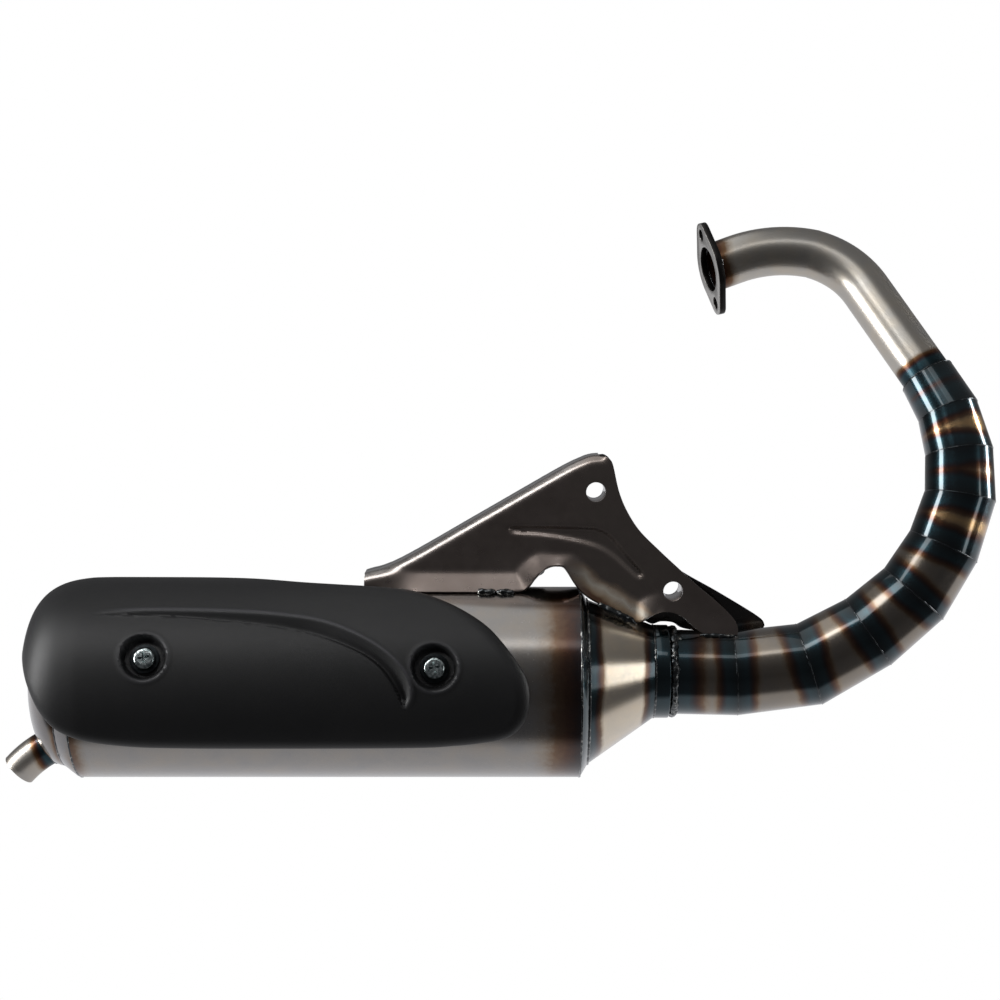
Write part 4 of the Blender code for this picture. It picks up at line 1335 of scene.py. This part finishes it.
# %% Inside pieces
rolled_steel, tree, shader = new_material("rolled_inner_steel", Metallic=1.0)
place = put(tree, "ShaderNodeTexCoord").outputs["Object"]
spotted(tree, shader, noise(tree, place, 40.0, 4.0), ((0.3, (0.28, 0.27, 0.26)), (0.7, (0.42, 0.40, 0.38))))
uneven_gloss(tree, shader, place, 300.0, 0.2, 0.32)
grain(tree, shader, 500.0, 0.2)
for name in ("counter_cone", "stinger_tube", "front_baffle_plate", "rear_baffle_plate"):
    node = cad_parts[name]
    node.data.materials.clear()
    node.data.materials.append(rolled_steel)
print("pieces made:", len(finished))

# %% [markdown]
# ## Studio
#
# Polished steel shows only what it reflects, so the studio is drawn for its reflections: a
# dim room that is a little lighter overhead, a pale floor that is bright from under the
# piece to the back and dark in front, tall soft boxes at both sides, and smaller ones that
# light the cone, the bracket's foot, its rolled edge and the top of the canister. The camera
# itself sees a plain white background.

# %% Camera
camera = bpy.data.objects.new("camera", bpy.data.cameras.new("camera"))
bpy.context.scene.collection.objects.link(camera)
camera.data.lens = 72.0
camera.data.sensor_width = 36.0
camera.location = at(-44.24, -1108.33, 190.59)
camera.rotation_euler = (math.radians(90 - 4.574), 0.0, 0.0)
bpy.context.scene.camera = camera
bpy.context.scene.view_settings.view_transform = "Standard"

# %% Surroundings
world = bpy.data.worlds.new("studio")
bpy.context.scene.world = world
world.use_nodes = True
tree = world.node_tree
direction = put(tree, "ShaderNodeTexCoord").outputs["Generated"]
split = put(tree, "ShaderNodeSeparateXYZ", None, Vector=direction)
sky = ramp(
    tree,
    maths(tree, "ADD", maths(tree, "MULTIPLY", split.outputs["Z"], 0.5), 0.5),
    (
        (0.0, (0.30, 0.30, 0.31)),
        (0.46, (0.055, 0.055, 0.058)),
        (0.62, (0.06, 0.06, 0.063)),
        (0.80, (0.11, 0.11, 0.113)),
        (0.90, (0.15, 0.15, 0.153)),
        (1.0, (0.18, 0.18, 0.183)),
    ),
)
back_share = maths(tree, "MULTIPLY", maths(tree, "SUBTRACT", split.outputs["Y"], 0.3), 1.5, clamp=True)
lit = blend(tree, back_share, sky.outputs["Color"], (0.17, 0.17, 0.175, 1.0))
camera_ray = put(tree, "ShaderNodeLightPath").outputs["Is Camera Ray"]
seen_world = blend(tree, camera_ray, lit, (1.0, 1.0, 1.0, 1.0))
background = tree.nodes["Background"]
tree.links.new(seen_world, background.inputs["Color"])

# %% Floor
clear_selection()
bpy.ops.mesh.primitive_plane_add(size=6.0, location=at(0.0, 0.0, -80.0))
floor = bpy.context.object
settle(floor)
floor.name = "studio_floor"
floor_paint = bpy.data.materials.new("pale_floor")
floor_paint.use_nodes = True
tree = floor_paint.node_tree
tree.nodes.clear()
place = put(tree, "ShaderNodeTexCoord").outputs["Object"]
from_front = put(tree, "ShaderNodeSeparateXYZ", None, Vector=place).outputs["Y"]
lit_part = ramp(
    tree,
    maths(tree, "ADD", maths(tree, "MULTIPLY", from_front, 2.0), 0.9),
    (
        (0.0, (0.05, 0.05, 0.052)),
        (0.62, (0.07, 0.07, 0.074)),
        (0.665, (0.54, 0.54, 0.555)),
        (0.80, (0.62, 0.62, 0.64)),
    ),
)
camera_ray = put(tree, "ShaderNodeLightPath").outputs["Is Camera Ray"]
seen_floor = blend(tree, camera_ray, lit_part.outputs["Color"], (1.0, 1.0, 1.0, 1.0))
floor_light = put(tree, "ShaderNodeEmission", None, Color=seen_floor)
put(tree, "ShaderNodeOutputMaterial", None, Surface=floor_light.outputs[0])
floor.data.materials.append(floor_paint)


# %% Soft boxes
def soft_box(name, place, aim, size, power):
    light = bpy.data.lights.new(name, "AREA")
    light.shape = "RECTANGLE"
    light.size, light.size_y = size
    light.energy = power
    box = bpy.data.objects.new(name, light)
    bpy.context.scene.collection.objects.link(box)
    box.location = Vector(place)
    box.rotation_euler = (box.location - Vector(aim)).to_track_quat("Z", "Y").to_euler()
    box.visible_camera = False


middle = at(60.0, 0.0, 60.0)


def around(azimuth, away, height):
    a = math.radians(azimuth)
    return middle + Vector((math.sin(a) * away, -math.cos(a) * away, height))


soft_box("left_box", around(-78.0, 1.5, 0.25), middle, (0.42, 1.3), 22.0)
soft_box("right_box", around(97.0, 1.3, 0.2), middle, (0.22, 1.1), 15.0)
soft_box("cone_box", around(60.0, 1.2, 0.12), middle, (0.20, 0.6), 0.9)
soft_box("fold_box", around(-48.0, 1.0, 1.0), middle, (0.7, 0.4), 3.0)
soft_box("lip_box", around(-10.0, 1.1, 1.5), middle, (1.2, 0.30), 1.2)
soft_box("canister_box", at(-150.0, -160.0, 780.0), at(-150.0, -160.0, 0.0), (0.44, 1.05), 0.85)
